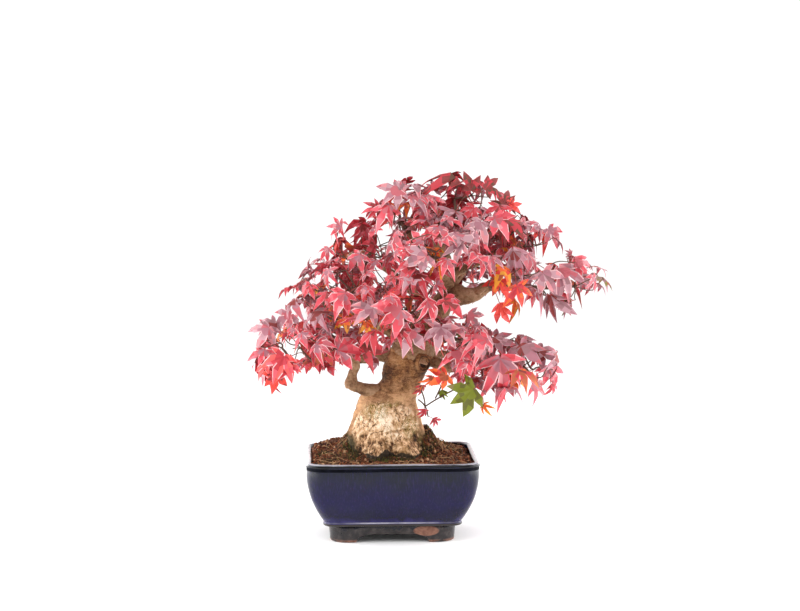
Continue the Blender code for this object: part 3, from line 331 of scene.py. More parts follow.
# Leaves that stand out in front, by mass: where its heart shows in the plane of view and its
# Y, the ways of its middle lobe and of its face, its length, and its dress.
SHOWN_LEAVES = {
    "low_right_leaves": (
        ((82, 147, -62), (-0.85, -0.1, -0.5), (0.1, -1, 0.1), 30, "green"),
        ((55, 161, -58), (-0.8, -0.1, -0.45), (0.1, -1, 0.1), 20, "ember"),
        ((93, 132, -26), (0.6, -0.1, -0.8), (-0.5, -0.6, 0.2), 13, "narrow orange"),
        ((141, 153, -24), (0.89, 0, -0.45), (0.8, -1, 0.1), 30, "narrow rose"),
        ((160, 152, -20), (0.5, 0, -0.85), (0.3, -1, 0), 14, "narrow crimson"),
        ((157, 170, -20), (0.5, -0.2, -0.85), (0.2, -1, 0.3), 23, "rose"),
        ((109, 178, -64), (0.18, -0.2, -1), (0.1, -1, 0.35), 38, "narrow rose"),
        ((104, 199, -40), (0.9, 0, -0.45), (0, -1, 0.8), 22, "dusk"),
        ((126, 194, -30), (0.9, 0, -0.5), (0, -1, 0.9), 21, "dusk"),
        ((31, 151, -18), (-0.1, 0, -1), (0.6, -1, 0), 12, "narrow rust"),
        ((33, 127, -20), (-0.2, 0, -1), (0.3, -1, 0), 11, "narrow crimson"),
        ((42, 118, -18), (0.7, 0, -0.8), (0.3, -1, 0), 12, "narrow crimson"),
        ((41, 160, -22), (-0.4, 0, -0.9), (0.4, -1, 0), 13, "narrow ember"),
        ((52, 146, -20), (0.1, 0, -1), (-0.5, -1, 0), 12, "narrow green"),
        ((130, 190, -45), (0.6, -0.2, -0.6), (0.1, -0.9, 0.5), 27, "dusk"),
        ((147, 185, -20), (0.8, -0.2, -0.5), (0.1, -0.7, 0.7), 24, "dusk"),
    ),
    "orange_leaves": (
        ((126, 250, -66), (0.3, -0.1, -0.9), (0.1, -1, 0.2), 26, "flame"),
        ((109, 232, -54), (0.35, 0, -0.95), (-0.3, -1, 0), 23, "narrow scarlet"),
        ((108, 257, -54), (-0.3, -0.2, -0.7), (0, -1, 0.3), 20, "flame"),
    ),
    "top_leaves": (
        ((70, 353.5, -8), (-0.86, 0, 0.5), (0.45, -0.12, 0.88), 43, "narrow wine"),
        ((80, 346, -8), (-0.25, 0, 0.9), (0, -1, 0.1), 21, "wine"),
        ((95, 348, -6), (0.6, 0, 0.5), (0, -1, 0.3), 18, "wine"),
        ((90, 314, -52), (-0.4, -0.4, -0.5), (0, -0.9, 0.6), 22, "haze"),
        ((43, 347, -16), (0.4, 0, 0.6), (0, -1, 0.5), 16, "dusk"),
        ((83, 328, -34), (-0.5, -0.2, -0.6), (0, -0.9, 0.6), 20, "crimson"),
    ),
    "top_left_leaves": (
        ((12, 348, -16), (-0.5, 0, 0.85), (0, -1, 0.4), 14, "dusk"),
        ((8, 346, -38), (-0.7, -0.2, -0.4), (0, -0.8, 0.7), 23, "mauve"),
        ((-2, 331, -40), (-0.6, -0.2, -0.7), (-0.2, -0.9, 0.5), 22, "rose"),
        ((-12, 328, -20), (-0.95, -0.1, -0.1), (0, -1, 0.4), 19, "narrow crimson"),
    ),
    "upper_left_leaves": (
        ((-50, 310, -6), (-0.9, -0.1, 0.2), (0, -1, 0.2), 15, "rose"),
        ((-29, 313, -8), (-0.15, 0, -1), (0.5, -1, 0), 21, "narrow crimson"),
    ),
    "top_right_leaves": (
        ((157, 307, -10), (0.6, -0.2, -0.7), (0.2, -0.9, 0.5), 18, "rose"),
        ((112, 331, -8), (0.2, -0.1, 0.95), (0, -1, 0.2), 20, "wine"),
        ((119, 331, -10), (0.95, 0, 0.2), (0, -1, 0.4), 13, "scarlet"),
        ((130, 311, -20), (0.8, -0.1, -0.4), (0, -1, 0.5), 19, "mauve"),
        ((104, 318, -44), (0.5, -0.3, -0.7), (0, -1, 0.6), 22, "rose"),
        ((108, 330, -24), (-0.3, -0.2, -0.9), (0, -1, 0.5), 20, "crimson"),
        ((122, 286, -42), (0.3, -0.3, -0.8), (0.1, -1, 0.5), 29, "narrow dusk"),
    ),
    "far_right_leaves": (
        ((184, 277, -12), (0.75, -0.2, -0.7), (0.2, -1, 0.4), 28, "narrow rose"),
        ((168, 268, -20), (0.5, -0.1, -0.85), (0.1, -1, 0.4), 37, "narrow mauve"),
        ((152, 263, -30), (0.5, -0.1, -0.8), (0, -1, 0.4), 24, "haze"),
        ((192, 260, -10), (0.5, 0, -0.85), (0.3, -1, 0.2), 17, "narrow dusk"),
        ((160, 241, -30), (0.35, 0, -0.95), (-0.8, -1, 0.1), 30, "narrow dusk"),
        ((180, 282, -8), (-0.5, 0, 0.5), (0, -1, 0.4), 9, "narrow mauve"),
    ),
    "high_front_leaves": (
        ((70, 291, -88), (-0.8, -0.3, -0.3), (0, -0.8, 0.8), 24, "haze"),
        ((35, 280, -98), (-0.8, -0.2, -0.3), (0, -0.9, 0.7), 23, "mauve"),
    ),
    "mid_left_leaves": (
        ((-46, 243, -72), (-0.5, -0.3, -0.7), (-0.1, -1, 0.5), 25, "rose"),
        ((-44, 220, -40), (0.1, -0.1, -1), (0, -1, 0.3), 17, "orange"),
        ((-32, 206, -36), (-0.6, -0.1, -0.7), (0, -1, 0.4), 18, "dusk"),
        ((-24, 214, -50), (0.2, -0.2, -1), (0, -1, 0.2), 15, "orange"),
        ((-30, 191, -58), (0.95, -0.1, -0.1), (0, -0.8, 0.6), 25, "wine"),
    ),
    "front_leaves": (
        ((-18, 228, -88), (-0.7, -0.2, -0.6), (0, -1, 0.5), 24, "haze"),
        ((10, 226, -112), (-0.9, -0.1, -0.55), (0, -1, 0.4), 30, "rose"),
        ((20, 205, -90), (-0.3, -0.2, -0.9), (0, -1, 0.5), 22, "mauve"),
    ),
    "front_right_leaves": (
        ((68, 186, -84), (-0.1, -0.4, -0.8), (0, -1, 0.6), 26, "rose"),
        ((77, 222, -50), (0.6, -0.1, -0.8), (0.2, -1, 0.3), 20, "mauve"),
        ((50, 209, -92), (-0.2, -0.3, -0.9), (-0.1, -1, 0.5), 26, "haze"),
        ((95, 196, -100), (-0.9, -0.1, -0.3), (0.1, -0.6, 0.9), 25, "pink"),
    ),
    "low_left_leaves": (
        ((-122, 209, -26), (-0.55, -0.1, -0.85), (0, -1, 0.4), 22, "mauve"),
        ((-100, 222, -20), (-0.7, -0.1, -0.4), (0, -1, 0.5), 22, "mauve"),
        ((-116, 213, -18), (-0.6, 0, -0.3), (0, -1, 0.5), 19, "dusk"),
        ((-14, 177, -22), (-0.7, 0, -0.6), (0.2, -1, 0.3), 13, "narrow dusk"),
        ((-107, 180, -54), (-0.4, -0.3, -0.8), (0, -1, 0.4), 27, "coral"),
        ((-116, 162, -34), (0.0, 0, -1), (0.2, -1, 0.2), 20, "scarlet"),
        ((-103, 173, -50), (0.25, -0.2, -1), (0, -1, 0.4), 21, "coral"),
        ((-127, 186, -30), (-0.3, 0, -0.95), (0, -1, 0.4), 19, "rose"),
        ((-53, 186, -62), (0.9, -0.3, 0.1), (0, -0.9, 0.6), 26, "rose"),
    ),
}

# Twigs of the sprig that hangs beside the trunk, each from one place to another in the
# plane of view, with their Y. The first one leaves the nearest twig of its mass.
SPRIG_MASS, SPRIG_RADIUS = "low_right_leaves", 0.75
SPRIG = np.array((((62, 160, -24), (34, 130, -18)), ((34, 130, -18), (29, 149, -18)),
                  ((34, 130, -18), (27, 137, -18)), ((34, 130, -18), (37, 120, -18)),
                  ((44, 138, -20), (50, 150, -20))), float)

TINTS = {                               # as display values from 0 to 255
    "pearl": (230, 184, 186), "blush": (206, 128, 134), "haze": (182, 136, 144),
    "mauve": (166, 106, 118), "dusty": (186, 88, 98), "rose": (206, 66, 80),
    "pink": (226, 88, 100), "crimson": (192, 46, 58), "scarlet": (218, 56, 42),
    "coral": (230, 84, 80), "wine": (134, 44, 42), "dusk": (148, 102, 108),
    "umber": (96, 56, 38), "rust": (170, 80, 44), "orange": (238, 104, 38),
    "gold": (232, 156, 46), "green": (114, 122, 2), "fern": (88, 88, 6),
    "olive": (128, 116, 58),
}
TINT_NAMES = list(TINTS)
# dress: tints from the heart to the tips, tints of its flecks, and tint of its rim
DRESSES = {
    "rose": (("mauve", "dusty", "rose", "pink"), ("blush", "crimson"), "pearl"),
    "pink": (("dusty", "pink", "blush", "rose"), ("blush", "rose"), "pearl"),
    "mauve": (("dusty", "mauve", "haze", "dusty"), ("blush", "dusk"), "pearl"),
    "haze": (("mauve", "haze", "blush", "mauve"), ("haze", "dusk"), "pearl"),
    "dusk": (("wine", "dusk", "mauve", "dusty"), ("haze", "dusk"), "haze"),
    "crimson": (("wine", "crimson", "rose", "crimson"), ("dusty", "crimson"), "blush"),
    "wine": (("wine", "wine", "crimson", "wine"), ("umber", "crimson"), "crimson"),
    "scarlet": (("crimson", "scarlet", "scarlet", "coral"), ("wine", "scarlet"), "coral"),
    "coral": (("crimson", "coral", "pink", "coral"), ("rose", "scarlet"), "pearl"),
    "flame": (("crimson", "scarlet", "scarlet", "scarlet"), ("orange", "rust"), "scarlet"),
    "orange": (("rust", "orange", "orange", "gold"), ("scarlet", "rust"), "gold"),
    "ember": (("rust", "scarlet", "orange", "orange"), ("scarlet", "orange"), "orange"),
    "gold": (("orange", "gold", "gold", "orange"), ("olive", "rust"), "gold"),
    "rust": (("umber", "rust", "crimson", "rust"), ("wine", "orange"), "coral"),
    "olive": (("umber", "olive", "dusk", "olive"), ("haze", "rust"), "haze"),
    "green": (("green", "green", "green", "olive"), ("fern", "fern"), "green"),
}
FLECK_SHARE, RIM_SHARE = 0.22, 0.64     # of a leaf's faces, and of its rim's


def place(points):
    """Millimetres from the pot's middle to the frame's metres."""
    return np.asarray(points, float) * MM + POT_MIDDLE


def length(vectors):
    """The length of each vector."""
    return np.linalg.norm(vectors, axis=-1)


def unit(vectors):
    """The vectors scaled to a length of 1."""
    return vectors / (length(vectors)[..., None] + 1e-9)


def headings(angle):
    """Flat unit ways: the cosine and sine of each angle."""
    return np.stack([np.cos(angle), np.sin(angle)], -1)


# noise ----------------------------------------------------------------------------------

def lattice(cells, seed):
    """A repeatable number from 0 to 1 for each whole-number cell, from its scrambled bits."""
    mixed = (cells[..., 0] * 73856093) ^ (cells[..., 1] * 19349663) ^ (cells[..., 2] * 83492791)
    mixed = (mixed ^ (seed * 668265263)) & 0xFFFFFFFF
    mixed = ((mixed ^ (mixed >> 13)) * 1274126177) & 0xFFFFFFFF
    mixed = ((mixed ^ (mixed >> 15)) * 668265263) & 0xFFFFFFFF
    return ((mixed ^ (mixed >> 16)) & 0xFFFF) / 65535.0


def smooth_noise(points, size, seed):
    """From -1 to 1: the numbers at the eight corners of the point's cell of a lattice of this
    size, blended along each axis by 3t^2 - 2t^3."""
    scaled = points / size
    cells = np.floor(scaled).astype(np.int64)
    t = scaled - cells
    t = t * t * (3.0 - 2.0 * t)
    total = np.zeros(points.shape[:-1])
    for corner in np.ndindex(2, 2, 2):
        step = np.array(corner)
        weight = np.prod(np.where(step == 1, t, 1.0 - t), axis=-1)
        total += weight * lattice(cells + step, seed)
    return 2.0 * total - 1.0


def rough_noise(points, size, octaves, seed):
    """Smooth noise plus halves of itself at half the size, octave after octave."""
    return sum(smooth_noise(points, size / 2 ** i, seed + i) / 2 ** i for i in range(octaves))


def grain_noise(points, size, seed):
    """0 at the middle of random grains and about 1 at their edges: the distance to the
    nearest of the lattice's jittered points, one in each cell."""
    scaled = points / size
    cells = np.floor(scaled).astype(np.int64)
    nearest = np.full(points.shape[:-1], 9.0)
    for step in np.ndindex(3, 3, 3):
        cell = cells + np.array(step) - 1
        spot = cell + np.stack([lattice(cell, seed + i) for i in range(3)], -1)
        nearest = np.minimum(nearest, ((scaled - spot) ** 2).sum(-1))
    return np.sqrt(nearest)


# meshes ---------------------------------------------------------------------------------

def new_piece(name, points, face_groups, materials, slots=None, attributes=None, smooth=True):
    """A mesh object from points in millimetres and arrays of faces, one for each count of
    corners. The slots are one number for each face, in the same order."""
    mesh = bpy.data.meshes.new(name)
    points = place(points).reshape(-1, 3)
    corners = np.concatenate([faces.reshape(-1) for faces in face_groups])
    counts = np.concatenate([np.full(len(faces), faces.shape[1]) for faces in face_groups])
    mesh.vertices.add(len(points))
    mesh.vertices.foreach_set("co", points.reshape(-1))
    mesh.loops.add(len(corners))
    mesh.loops.foreach_set("vertex_index", corners)
    mesh.polygons.add(len(counts))
    mesh.polygons.foreach_set("loop_start", np.concatenate([[0], np.cumsum(counts)[:-1]]))
    if slots is not None:
        mesh.polygons.foreach_set("material_index", slots)
    mesh.update(calc_edges=True)
    mesh.validate()
    for key, values in (attributes or {}).items():
        layer = mesh.attributes.new(key, "FLOAT", "POINT")
        layer.data.foreach_set("value", np.asarray(values, np.float32).reshape(-1))
    if smooth:
        mesh.shade_smooth()
    for material in materials:
        mesh.materials.append(material)
    made = bpy.data.objects.new(name, mesh)
    bpy.context.scene.collection.objects.link(made)
    return made


def belt_faces(rows, columns):
    """Quads of a grid of rows that close round after the last column, facing outwards where
    the columns run counter-clockwise and the rows upwards."""
    near = np.arange(rows * columns).reshape(rows, columns)
    far = np.roll(near, -1, axis=1)
    return np.stack([near[:-1], far[:-1], far[1:], near[1:]], -1).reshape(-1, 4)


def fan_faces(ring, hub):
    """Triangles from a ring of points to one hub."""
    return np.stack([ring, np.roll(ring, -1), np.full(len(ring), hub)], -1)


def new_shell(name, rows, low_hub, high_hub, materials, **extras):
    """A piece from rings of points, the lowest first, closed by a fan to a hub at each end."""
    count, columns = rows.shape[:2]
    ring, points = np.arange(columns), rows.reshape(-1, 3)
    faces = [belt_faces(count, columns), fan_faces(ring[::-1], len(points)),
             fan_faces((count - 1) * columns + ring, len(points) + 1)]
    return new_piece(name, np.concatenate([points, [low_hub, high_hub]]), faces, materials,
                     **extras)


def copied_faces(faces, corners, count):
    """The faces of a shape with this many corners, once for each of its copies."""
    start = corners * np.arange(count)[:, None, None]
    return (faces[None] + start).reshape(-1, faces.shape[1])


def tube_points(paths, radii, sides):
    """Rings round many paths at once. Each ring is the path's point plus the radius times
    cosine and sine of even angles along two directions square to the path's way there."""
    way = unit(np.gradient(paths, axis=1))
    chord = paths[:, -1] - paths[:, 0]
    guide = np.zeros_like(chord)
    guide[np.arange(len(chord)), np.abs(chord).argmin(axis=1)] = 1.0
    across = unit(np.cross(way, guide[:, None]))
    over = np.cross(way, across)
    angle = (2 * np.pi * np.arange(sides) / sides)[:, None]
    ring = np.cos(angle) * across[:, :, None] + np.sin(angle) * over[:, :, None]
    return paths[:, :, None] + ring * radii[:, :, None, None]


def tube_faces(count, rows, sides):
    """Quads along each of many tubes, and a flat cap on both ends."""
    start = (np.arange(count) * rows * sides)[:, None, None]
    belt = belt_faces(rows, sides)[None] + start
    first = np.arange(sides)[::-1][None] + start[:, 0]
    last = (rows - 1) * sides + np.arange(sides)[None] + start[:, 0]
    return [belt.reshape(-1, 4), first, last]


def new_tubes(name, paths, radii, sides, materials, slots=None):
    """Many tubes in one piece."""
    points = tube_points(paths, radii, sides)
    faces = tube_faces(len(paths), paths.shape[1], sides)
    return new_piece(name, points, faces, materials, slots)


def smooth_path(points, step):
    """A Catmull-Rom curve through the points, with one about every step."""
    points = np.asarray(points, float)
    ends = np.concatenate([[2 * points[0] - points[1]], points, [2 * points[-1] - points[-2]]])
    spans = []
    for before, start, end, after in zip(ends, ends[1:], ends[2:], ends[3:]):
        count = max(2, round(np.linalg.norm(end - start) / step))
        t = (np.arange(count) / count)[:, None]
        spans.append(0.5 * (2 * start + (end - before) * t
                            + (2 * before - 5 * start + 4 * end - after) * t ** 2
                            + (3 * start - before - 3 * end + after) * t ** 3))
    return np.concatenate([*spans, points[-1:]])


# materials ------------------------------------------------------------------------------

def linear(colour):
    """Display values from 0 to 255, or one for a grey, as the shader's linear ones."""
    share = np.broadcast_to(np.asarray(colour, float), 3) / 255.0
    low, high = share / 12.92, ((share + 0.055) / 1.055) ** 2.4
    return (*np.where(share <= 0.04045, low, high), 1.0)


class Finish:
    """A Principled material, and short ways to add nodes to it. Lengths are millimetres."""

    def __init__(self, name, colour, roughness, **sockets):
        self.material = bpy.data.materials.new(name)
        self.material.use_nodes = True
        self.material.diffuse_color = linear(colour)
        self.tree = self.material.node_tree
        self.shader = self.tree.nodes["Principled BSDF"]
        self.feed(Base_Color=tuple(colour), Roughness=roughness, **sockets)

    def add(self, kind, sockets, **settings):
        """A node with these settings. Its sockets are given by name or number."""
        node = self.tree.nodes.new(kind)
        for key, value in settings.items():
            setattr(node, key, value)
        for key, value in sockets.items():
            self.set(node.inputs[key], value)
        return node.outputs

    def set(self, socket, value):
        """Links a shade or another socket to this one, or sets it to a value or colour."""
        if isinstance(value, Shade):
            value = value.socket
        if isinstance(value, bpy.types.NodeSocket):
            self.tree.links.new(value, socket)
        elif socket.type == "RGBA":
            socket.default_value = linear(value)
        else:
            socket.default_value = value

    def feed(self, **sockets):
        """Sets the shader's own sockets."""
        for key, value in sockets.items():
            self.set(self.shader.inputs[key.replace("_", " ")], value)

    def mapped(self, kind="POINT", **sockets):
        """Object coordinates through a mapping."""
        source = self.add("ShaderNodeTexCoord", {})["Object"]
        return self.add("ShaderNodeMapping", {"Vector": source, **sockets},
                        vector_type=kind)["Vector"]

    def noise(self, size, detail=4.0, rough=0.55, stretch=(1.0, 1.0, 1.0), warp=0.0):
        """Noise with features of about this size."""
        return Shade(self, self.add("ShaderNodeTexNoise", {
            "Vector": self.mapped(Scale=stretch), "Scale": 1.0 / (size * MM),
            "Detail": detail, "Roughness": rough, "Distortion": warp})["Fac"])

    def spot(self, middle, reach):
        """1 at the middle of an ellipsoid and 0 at its edge."""
        vector = self.mapped("TEXTURE", Location=place(middle), Scale=np.asarray(reach) * MM)
        return Shade(self, self.add("ShaderNodeTexGradient", {"Vector": vector},
                                    gradient_type="SPHERICAL")["Fac"])

    def attribute(self, name):
        return Shade(self, self.add("ShaderNodeAttribute", {}, attribute_name=name)["Fac"])

    def height(self, low, high):
        """0 at the low height and 1 at the high one."""
        split = self.add("ShaderNodeSeparateXYZ", {"Vector": self.mapped()})
        return Shade(self, split["Z"]).range(low * MM, high * MM)

    def bump(self, source, strength, depth):
        """Bumps as deep as this."""
        self.feed(Normal=self.add("ShaderNodeBump", {
            "Strength": strength, "Distance": depth * MM, "Height": source})["Normal"])


class Shade:
    """A node's result, to carry on through more nodes. Sums, differences and products are
    kept from 0 to 1."""

    def __init__(self, finish, socket):
        self.finish, self.socket = finish, socket

    def math(self, operation, other):
        return Shade(self.finish, self.finish.add("ShaderNodeMath", {0: self, 1: other},
                                                  operation=operation, use_clamp=True)["Value"])

    def __add__(self, other):
        return self.math("ADD", other)

    def __sub__(self, other):
        return self.math("SUBTRACT", other)

    def __mul__(self, other):
        return self.math("MULTIPLY", other)

    def range(self, low, high, to_low=0.0, to_high=1.0):
        """Runs evenly from one value at low to the other at high."""
        return Shade(self.finish, self.finish.add("ShaderNodeMapRange", {
            "Value": self, "From Min": low, "From Max": high, "To Min": to_low,
            "To Max": to_high})["Result"])

    def ramp(self, *stops):
        """Colours laid out along the source: pairs of a place from 0 to 1 and a colour."""
        outputs = self.finish.add("ShaderNodeValToRGB", {"Fac": self})
        elements = outputs["Color"].node.color_ramp.elements
        while len(elements) < len(stops):
            elements.new(1.0)
        for element, (where, colour) in zip(elements, stops):
            element.position = where
            element.color = linear(colour)
        return Shade(self.finish, outputs["Color"])

    def mix(self, one, other):
        """One colour where this is 0, and the other where it is 1."""
        return Shade(self.finish, self.finish.add("ShaderNodeMix", {
            "Factor": self, 6: one, 7: other}, data_type="RGBA")[2])


def glaze_finish():
    """Dark blue glaze: slate below the lip and violet lower down, where it ran and pooled, in
    fine upright hairs. The rolled lip is painted with a pale highlight over a band of painted
    shade, with painted shade at its front corners and painted white glare on its left and
    right rims, and a painted highlight runs along the bead over the foot."""
    finish = Finish("blue_glaze", (14, 14, 46), 0.1, Specular_IOR_Level=0.27)
    drift = finish.noise(26, 3).range(0.3, 0.7, -0.12, 0.12)
    level = finish.height(20.5, 82) + drift
    body = level.ramp((0.0, (40, 34, 88)), (0.05, (26, 20, 70)), (0.11, (12, 10, 38)),
                      (0.35, (14, 10, 56)), (0.58, (13, 12, 48)), (0.8, (14, 17, 33)),
                      (1.0, (10, 13, 26)))
    hairs = finish.noise(1.3, 3, 0.6, (1.0, 1.0, 0.09))
    haired = hairs.range(0.5, 0.8, 0, 0.5).mix(body, (44, 34, 92))
    clouds = finish.noise(14, 5, 0.62)
    coat = clouds.range(0.5, 0.75, 0, 0.35).mix(haired, (28, 32, 48))
    uneven = finish.noise(11, 3).range(0.3, 0.7, -0.07, 0.07)
    # painted light on the rolled lip: a band of painted shade on its lower front, under a
    # painted pale highlight on its top
    lip = finish.height(78.0, 82.0) + uneven
    lip_shade_and_highlight = lip.ramp((0.4, (6, 6, 10)), (0.7, (4, 4, 8)), (0.82, (110, 112, 122)),
                    (0.94, (166, 166, 174)))
    painted_lip_light = lip.range(0.3, 0.42).mix(coat, lip_shade_and_highlight)
    # painted shade in crescents on the lip's lower half at the two front corners
    corner_shade_crescents = (finish.spot((-72, -72, 79.4), (17, 16, 3.0))
             + finish.spot((74, -72, 79.6), (15, 16, 2.6)))
    painted_lip_light = corner_shade_crescents.range(0.25, 0.45).mix(painted_lip_light, (4, 4, 8))
    # painted white glare along the rims on the left and right, broken into streaks
    sides = finish.spot((-90, 0, 84), (16, 110, 10)) + finish.spot((90, 0, 84), (15, 110, 10))
    glare_streaks = finish.noise(5, 4, 0.6, (1.0, 0.4, 1.0)).range(0.35, 0.5, 0.35, 0.95)
    painted_lip_light = (sides.range(0.2, 0.4) * glare_streaks).mix(painted_lip_light, (240, 240, 244))
    # a painted highlight along the bead over the foot, strongest on the front
    edge = finish.height(20.1, 20.6) * finish.height(21.9, 21.3)
    edge *= finish.spot((0, -60, 21), (72, 60, 20)).range(0.3, 0.6, 0.25, 1)
    highlight_breakup = finish.noise(12, 4, 0.6).range(0.3, 0.6, 0.3, 0.9)
    bead_highlighted = (edge * highlight_breakup).mix(painted_lip_light, (176, 174, 186))
    finish.feed(Base_Color=finish.height(20.3, 19.7).mix(bead_highlighted, (50, 45, 44)))
    finish.feed(Roughness=hairs.range(0.3, 0.8, 0.06, 0.14))
    finish.bump(finish.noise(20, 3), 0.3, 0.5)
    return finish.material


def under_lip_finish():
    """Painted shade in the hollow under the lip: the glaze there is coloured near black and
    made dull, so that it shows little reflection.
    """
    finish = Finish("painted_shade_under_lip", (4, 4, 9), 0.6, Specular_IOR_Level=0.05)
    finish.feed(Base_Color=finish.noise(9, 4, 0.6).ramp((0.35, (2, 2, 6)), (0.7, (16, 17, 28))))
    return finish.material


def foot_finish():
    """Thin dark glaze over the feet, smoky and shiny, with bare red clay where they were wiped
    at the bottom and in one patch on the front."""
    finish = Finish("foot_glaze", (52, 46, 44), 0.3, Specular_IOR_Level=0.4)
    smoke = finish.noise(7, 6, 0.6)
    smoke = smoke.ramp((0.3, (22, 19, 22)), (0.5, (42, 36, 36)), (0.7, (74, 66, 64)))
    clay = finish.noise(3, 5, 0.6).ramp((0.3, (104, 66, 52)), (0.7, (156, 112, 94)))
    wiped = finish.height(3.4, 1.2) * finish.noise(15, 3).range(0.42, 0.52)
    patch = finish.spot(*BARE_CLAY).range(0.12, 0.22)
    bare = wiped + patch
    drips = finish.noise(8, 3).range(0.3, 0.7, -0.7, 0.5)
    drip = (finish.height(11.5, 16.5) + drips).range(0.4, 0.55)
    glazed = drip.mix(smoke, (14, 15, 28))
    finish.feed(Base_Color=bare.mix(glazed, clay))
    finish.feed(Roughness=bare.range(0, 1, 0.22, 0.8))
    finish.bump(finish.noise(1.6, 5, 0.65), 0.35, 0.25)
    return finish.material


def soil_finish():
    """Red-brown soil, dark between its lumps and pale on them."""
    finish = Finish("red_brown_soil", (86, 58, 42), 0.95)
    grit = finish.noise(2.6, 6, 0.7)
    finish.feed(Base_Color=grit.ramp((0.3, (34, 14, 5)), (0.46, (92, 50, 26)),
                                     (0.6, (134, 82, 48)), (0.8, (176, 126, 90))))
    finish.bump(finish.noise(1.1, 6, 0.7), 0.9, 0.8)
    return finish.material


def granule_finish(name, dark, light):
    """A crumb of soil, from its dark colour to its light one."""
    finish = Finish(name, light, 0.92)
    finish.feed(Base_Color=finish.noise(1.3, 4, 0.6).ramp((0.3, dark), (0.7, light)))
    finish.bump(finish.noise(0.5, 3, 0.6), 0.5, 0.2)
    return finish.material


def bark_finish():
    """Cream flaking burl over the foot, with a pale brow and olive moss, and wrinkled tan bark
    that turns brown above it. The mesh's 'relief' number is painted shade: the bark is lighter
    where it stands out and brown to dark in its hollows. The foot is painted dark where it
    meets the soil, partly moss and partly painted shade; a painted highlight lies on the middle
    of the burl's front, and painted shade on the trunk's right and high on its front. Burl is
    the mesh's own number."""
    finish = Finish("old_bark", (200, 163, 126), 0.9)
    # painted shade: the mesh's 'relief' number is lighter where the bark stands out and darker
    # in its pits, cracks and hollows
    relief = finish.attribute("relief")
    fine = finish.noise(1.1, 5, 0.75)
    blotches = finish.noise(12, 5, 0.6)
    specks = finish.noise(3.2, 4, 0.72, (1.0, 1.0, 0.6))
    rough = relief.range(0, 1, 0.1, 0.54) + specks.range(0.34, 0.66, -0.04, 0.4)
    brow = finish.height(96, 112) * finish.height(140, 128)
    rough += brow.range(0, 1, -0.04, 0.12)
    cracks = finish.noise(13.0, 5, 0.6, (1.0, 1.0, 0.8), 0.9)
    cracks = cracks.ramp((0.475, 0), (0.49, 255), (0.505, 0))
    rough -= cracks * 0.5
    # a painted highlight on the middle of the burl's front, where the light falls most
    burl_painted_highlight = finish.spot((-7, -34, 121), (14, 22, 15))
    rough += burl_painted_highlight.range(0.1, 0.6, 0.0, 0.2)
    burl = rough.ramp((0.0, (12, 5, 1)), (0.2, (44, 26, 12)), (0.36, (104, 70, 42)),
                      (0.5, (178, 136, 96)), (0.65, (228, 190, 148)), (0.9, (255, 238, 212)))
    ochre = blotches.range(0.5, 0.66) * fine.range(0.35, 0.6, 0.2, 0.75)
    burl = ochre.mix(burl, (176, 134, 84))
    moss = finish.spot((-17, -26, 128), (16, 18, 9)) + finish.spot((-2, -28, 136), (13, 18, 5))
    moss += finish.spot((20, -26, 112), (12, 18, 14))
    moss = moss.range(0.02, 0.3) * fine.range(0.46, 0.6)
    burl = moss.mix(burl, (122, 108, 36))
    # a dark band round the foot where the trunk meets the soil, partly moss and partly painted
    # shade, with painted shade deepest in the notch
    foot_moss_and_shade = finish.height(89.5, 83.5) + blotches.range(0.35, 0.65, -0.35, 0.35)
    notch = finish.spot((-6, -40, 84), (10, 16, 10)).range(0.1, 0.5)
    foot_moss_and_shade += notch
    burl = foot_moss_and_shade.range(0.4, 0.6, 0, 0.92).mix(burl, (24, 20, 10))
    # the upper bark's painted shade, from the mesh's 'relief' number
    calm = relief.range(0, 1, 0.17, 0.5) + fine.range(0.28, 0.72, -0.02, 0.3)
    level = finish.noise(3.6, 4, 0.65, (0.2, 0.2, 1.0), 0.4)
    lines = level.ramp((0.44, 0), (0.49, 255), (0.54, 0))
    creased = calm - lines * 0.14
    creased += finish.noise(20, 3).range(0.35, 0.65, -0.13, 0.13)
    rings = finish.spot(KNOT, (12, 12, 12)) + blotches.range(0.3, 0.7, -0.07, 0.07)
    rings = rings.ramp((0.02, 0), (0.12, 200), (0.2, 60), (0.34, 40), (0.42, 230), (0.5, 60),
                       (0.6, 110), (0.72, 255))
    creased -= rings * 0.34
    shaded = (finish.spot((38, -12, 150), (15, 30, 20))
              + finish.spot((-5, -14, 166), (10, 24, 16)))
    creased -= shaded.range(0.05, 0.6, 0, 0.13)
    tan = creased.ramp((0.0, (60, 36, 18)), (0.28, (150, 109, 72)), (0.5, (200, 154, 110)),
                       (1.0, (232, 196, 150)))
    brown = creased.ramp((0.0, (20, 9, 3)), (0.22, (60, 34, 15)), (0.38, (108, 68, 36)),
                         (0.56, (166, 116, 70)), (1.0, (226, 182, 134)))
    rise = finish.height(134, 164) + blotches.range(0.35, 0.65, -0.3, 0.4)
    skin = rise.mix(tan, brown)
    damp = finish.height(112, 96) + blotches.range(0.35, 0.65, -0.4, 0.3)
    slime = fine.ramp((0.35, (34, 22, 10)), (0.55, (70, 56, 24)), (0.7, (104, 96, 40)))
    skin = damp.mix(skin, slime)
    bark = finish.attribute("burl").mix(skin, burl)
    tuft = finish.spot((31, -26, 100), (9, 18, 12)).range(0.1, 0.5) * fine.range(0.42, 0.56)
    finish.feed(Base_Color=tuft.mix(bark, (112, 112, 26)))
    finish.bump(fine, 0.9, 0.8)
    return finish.material


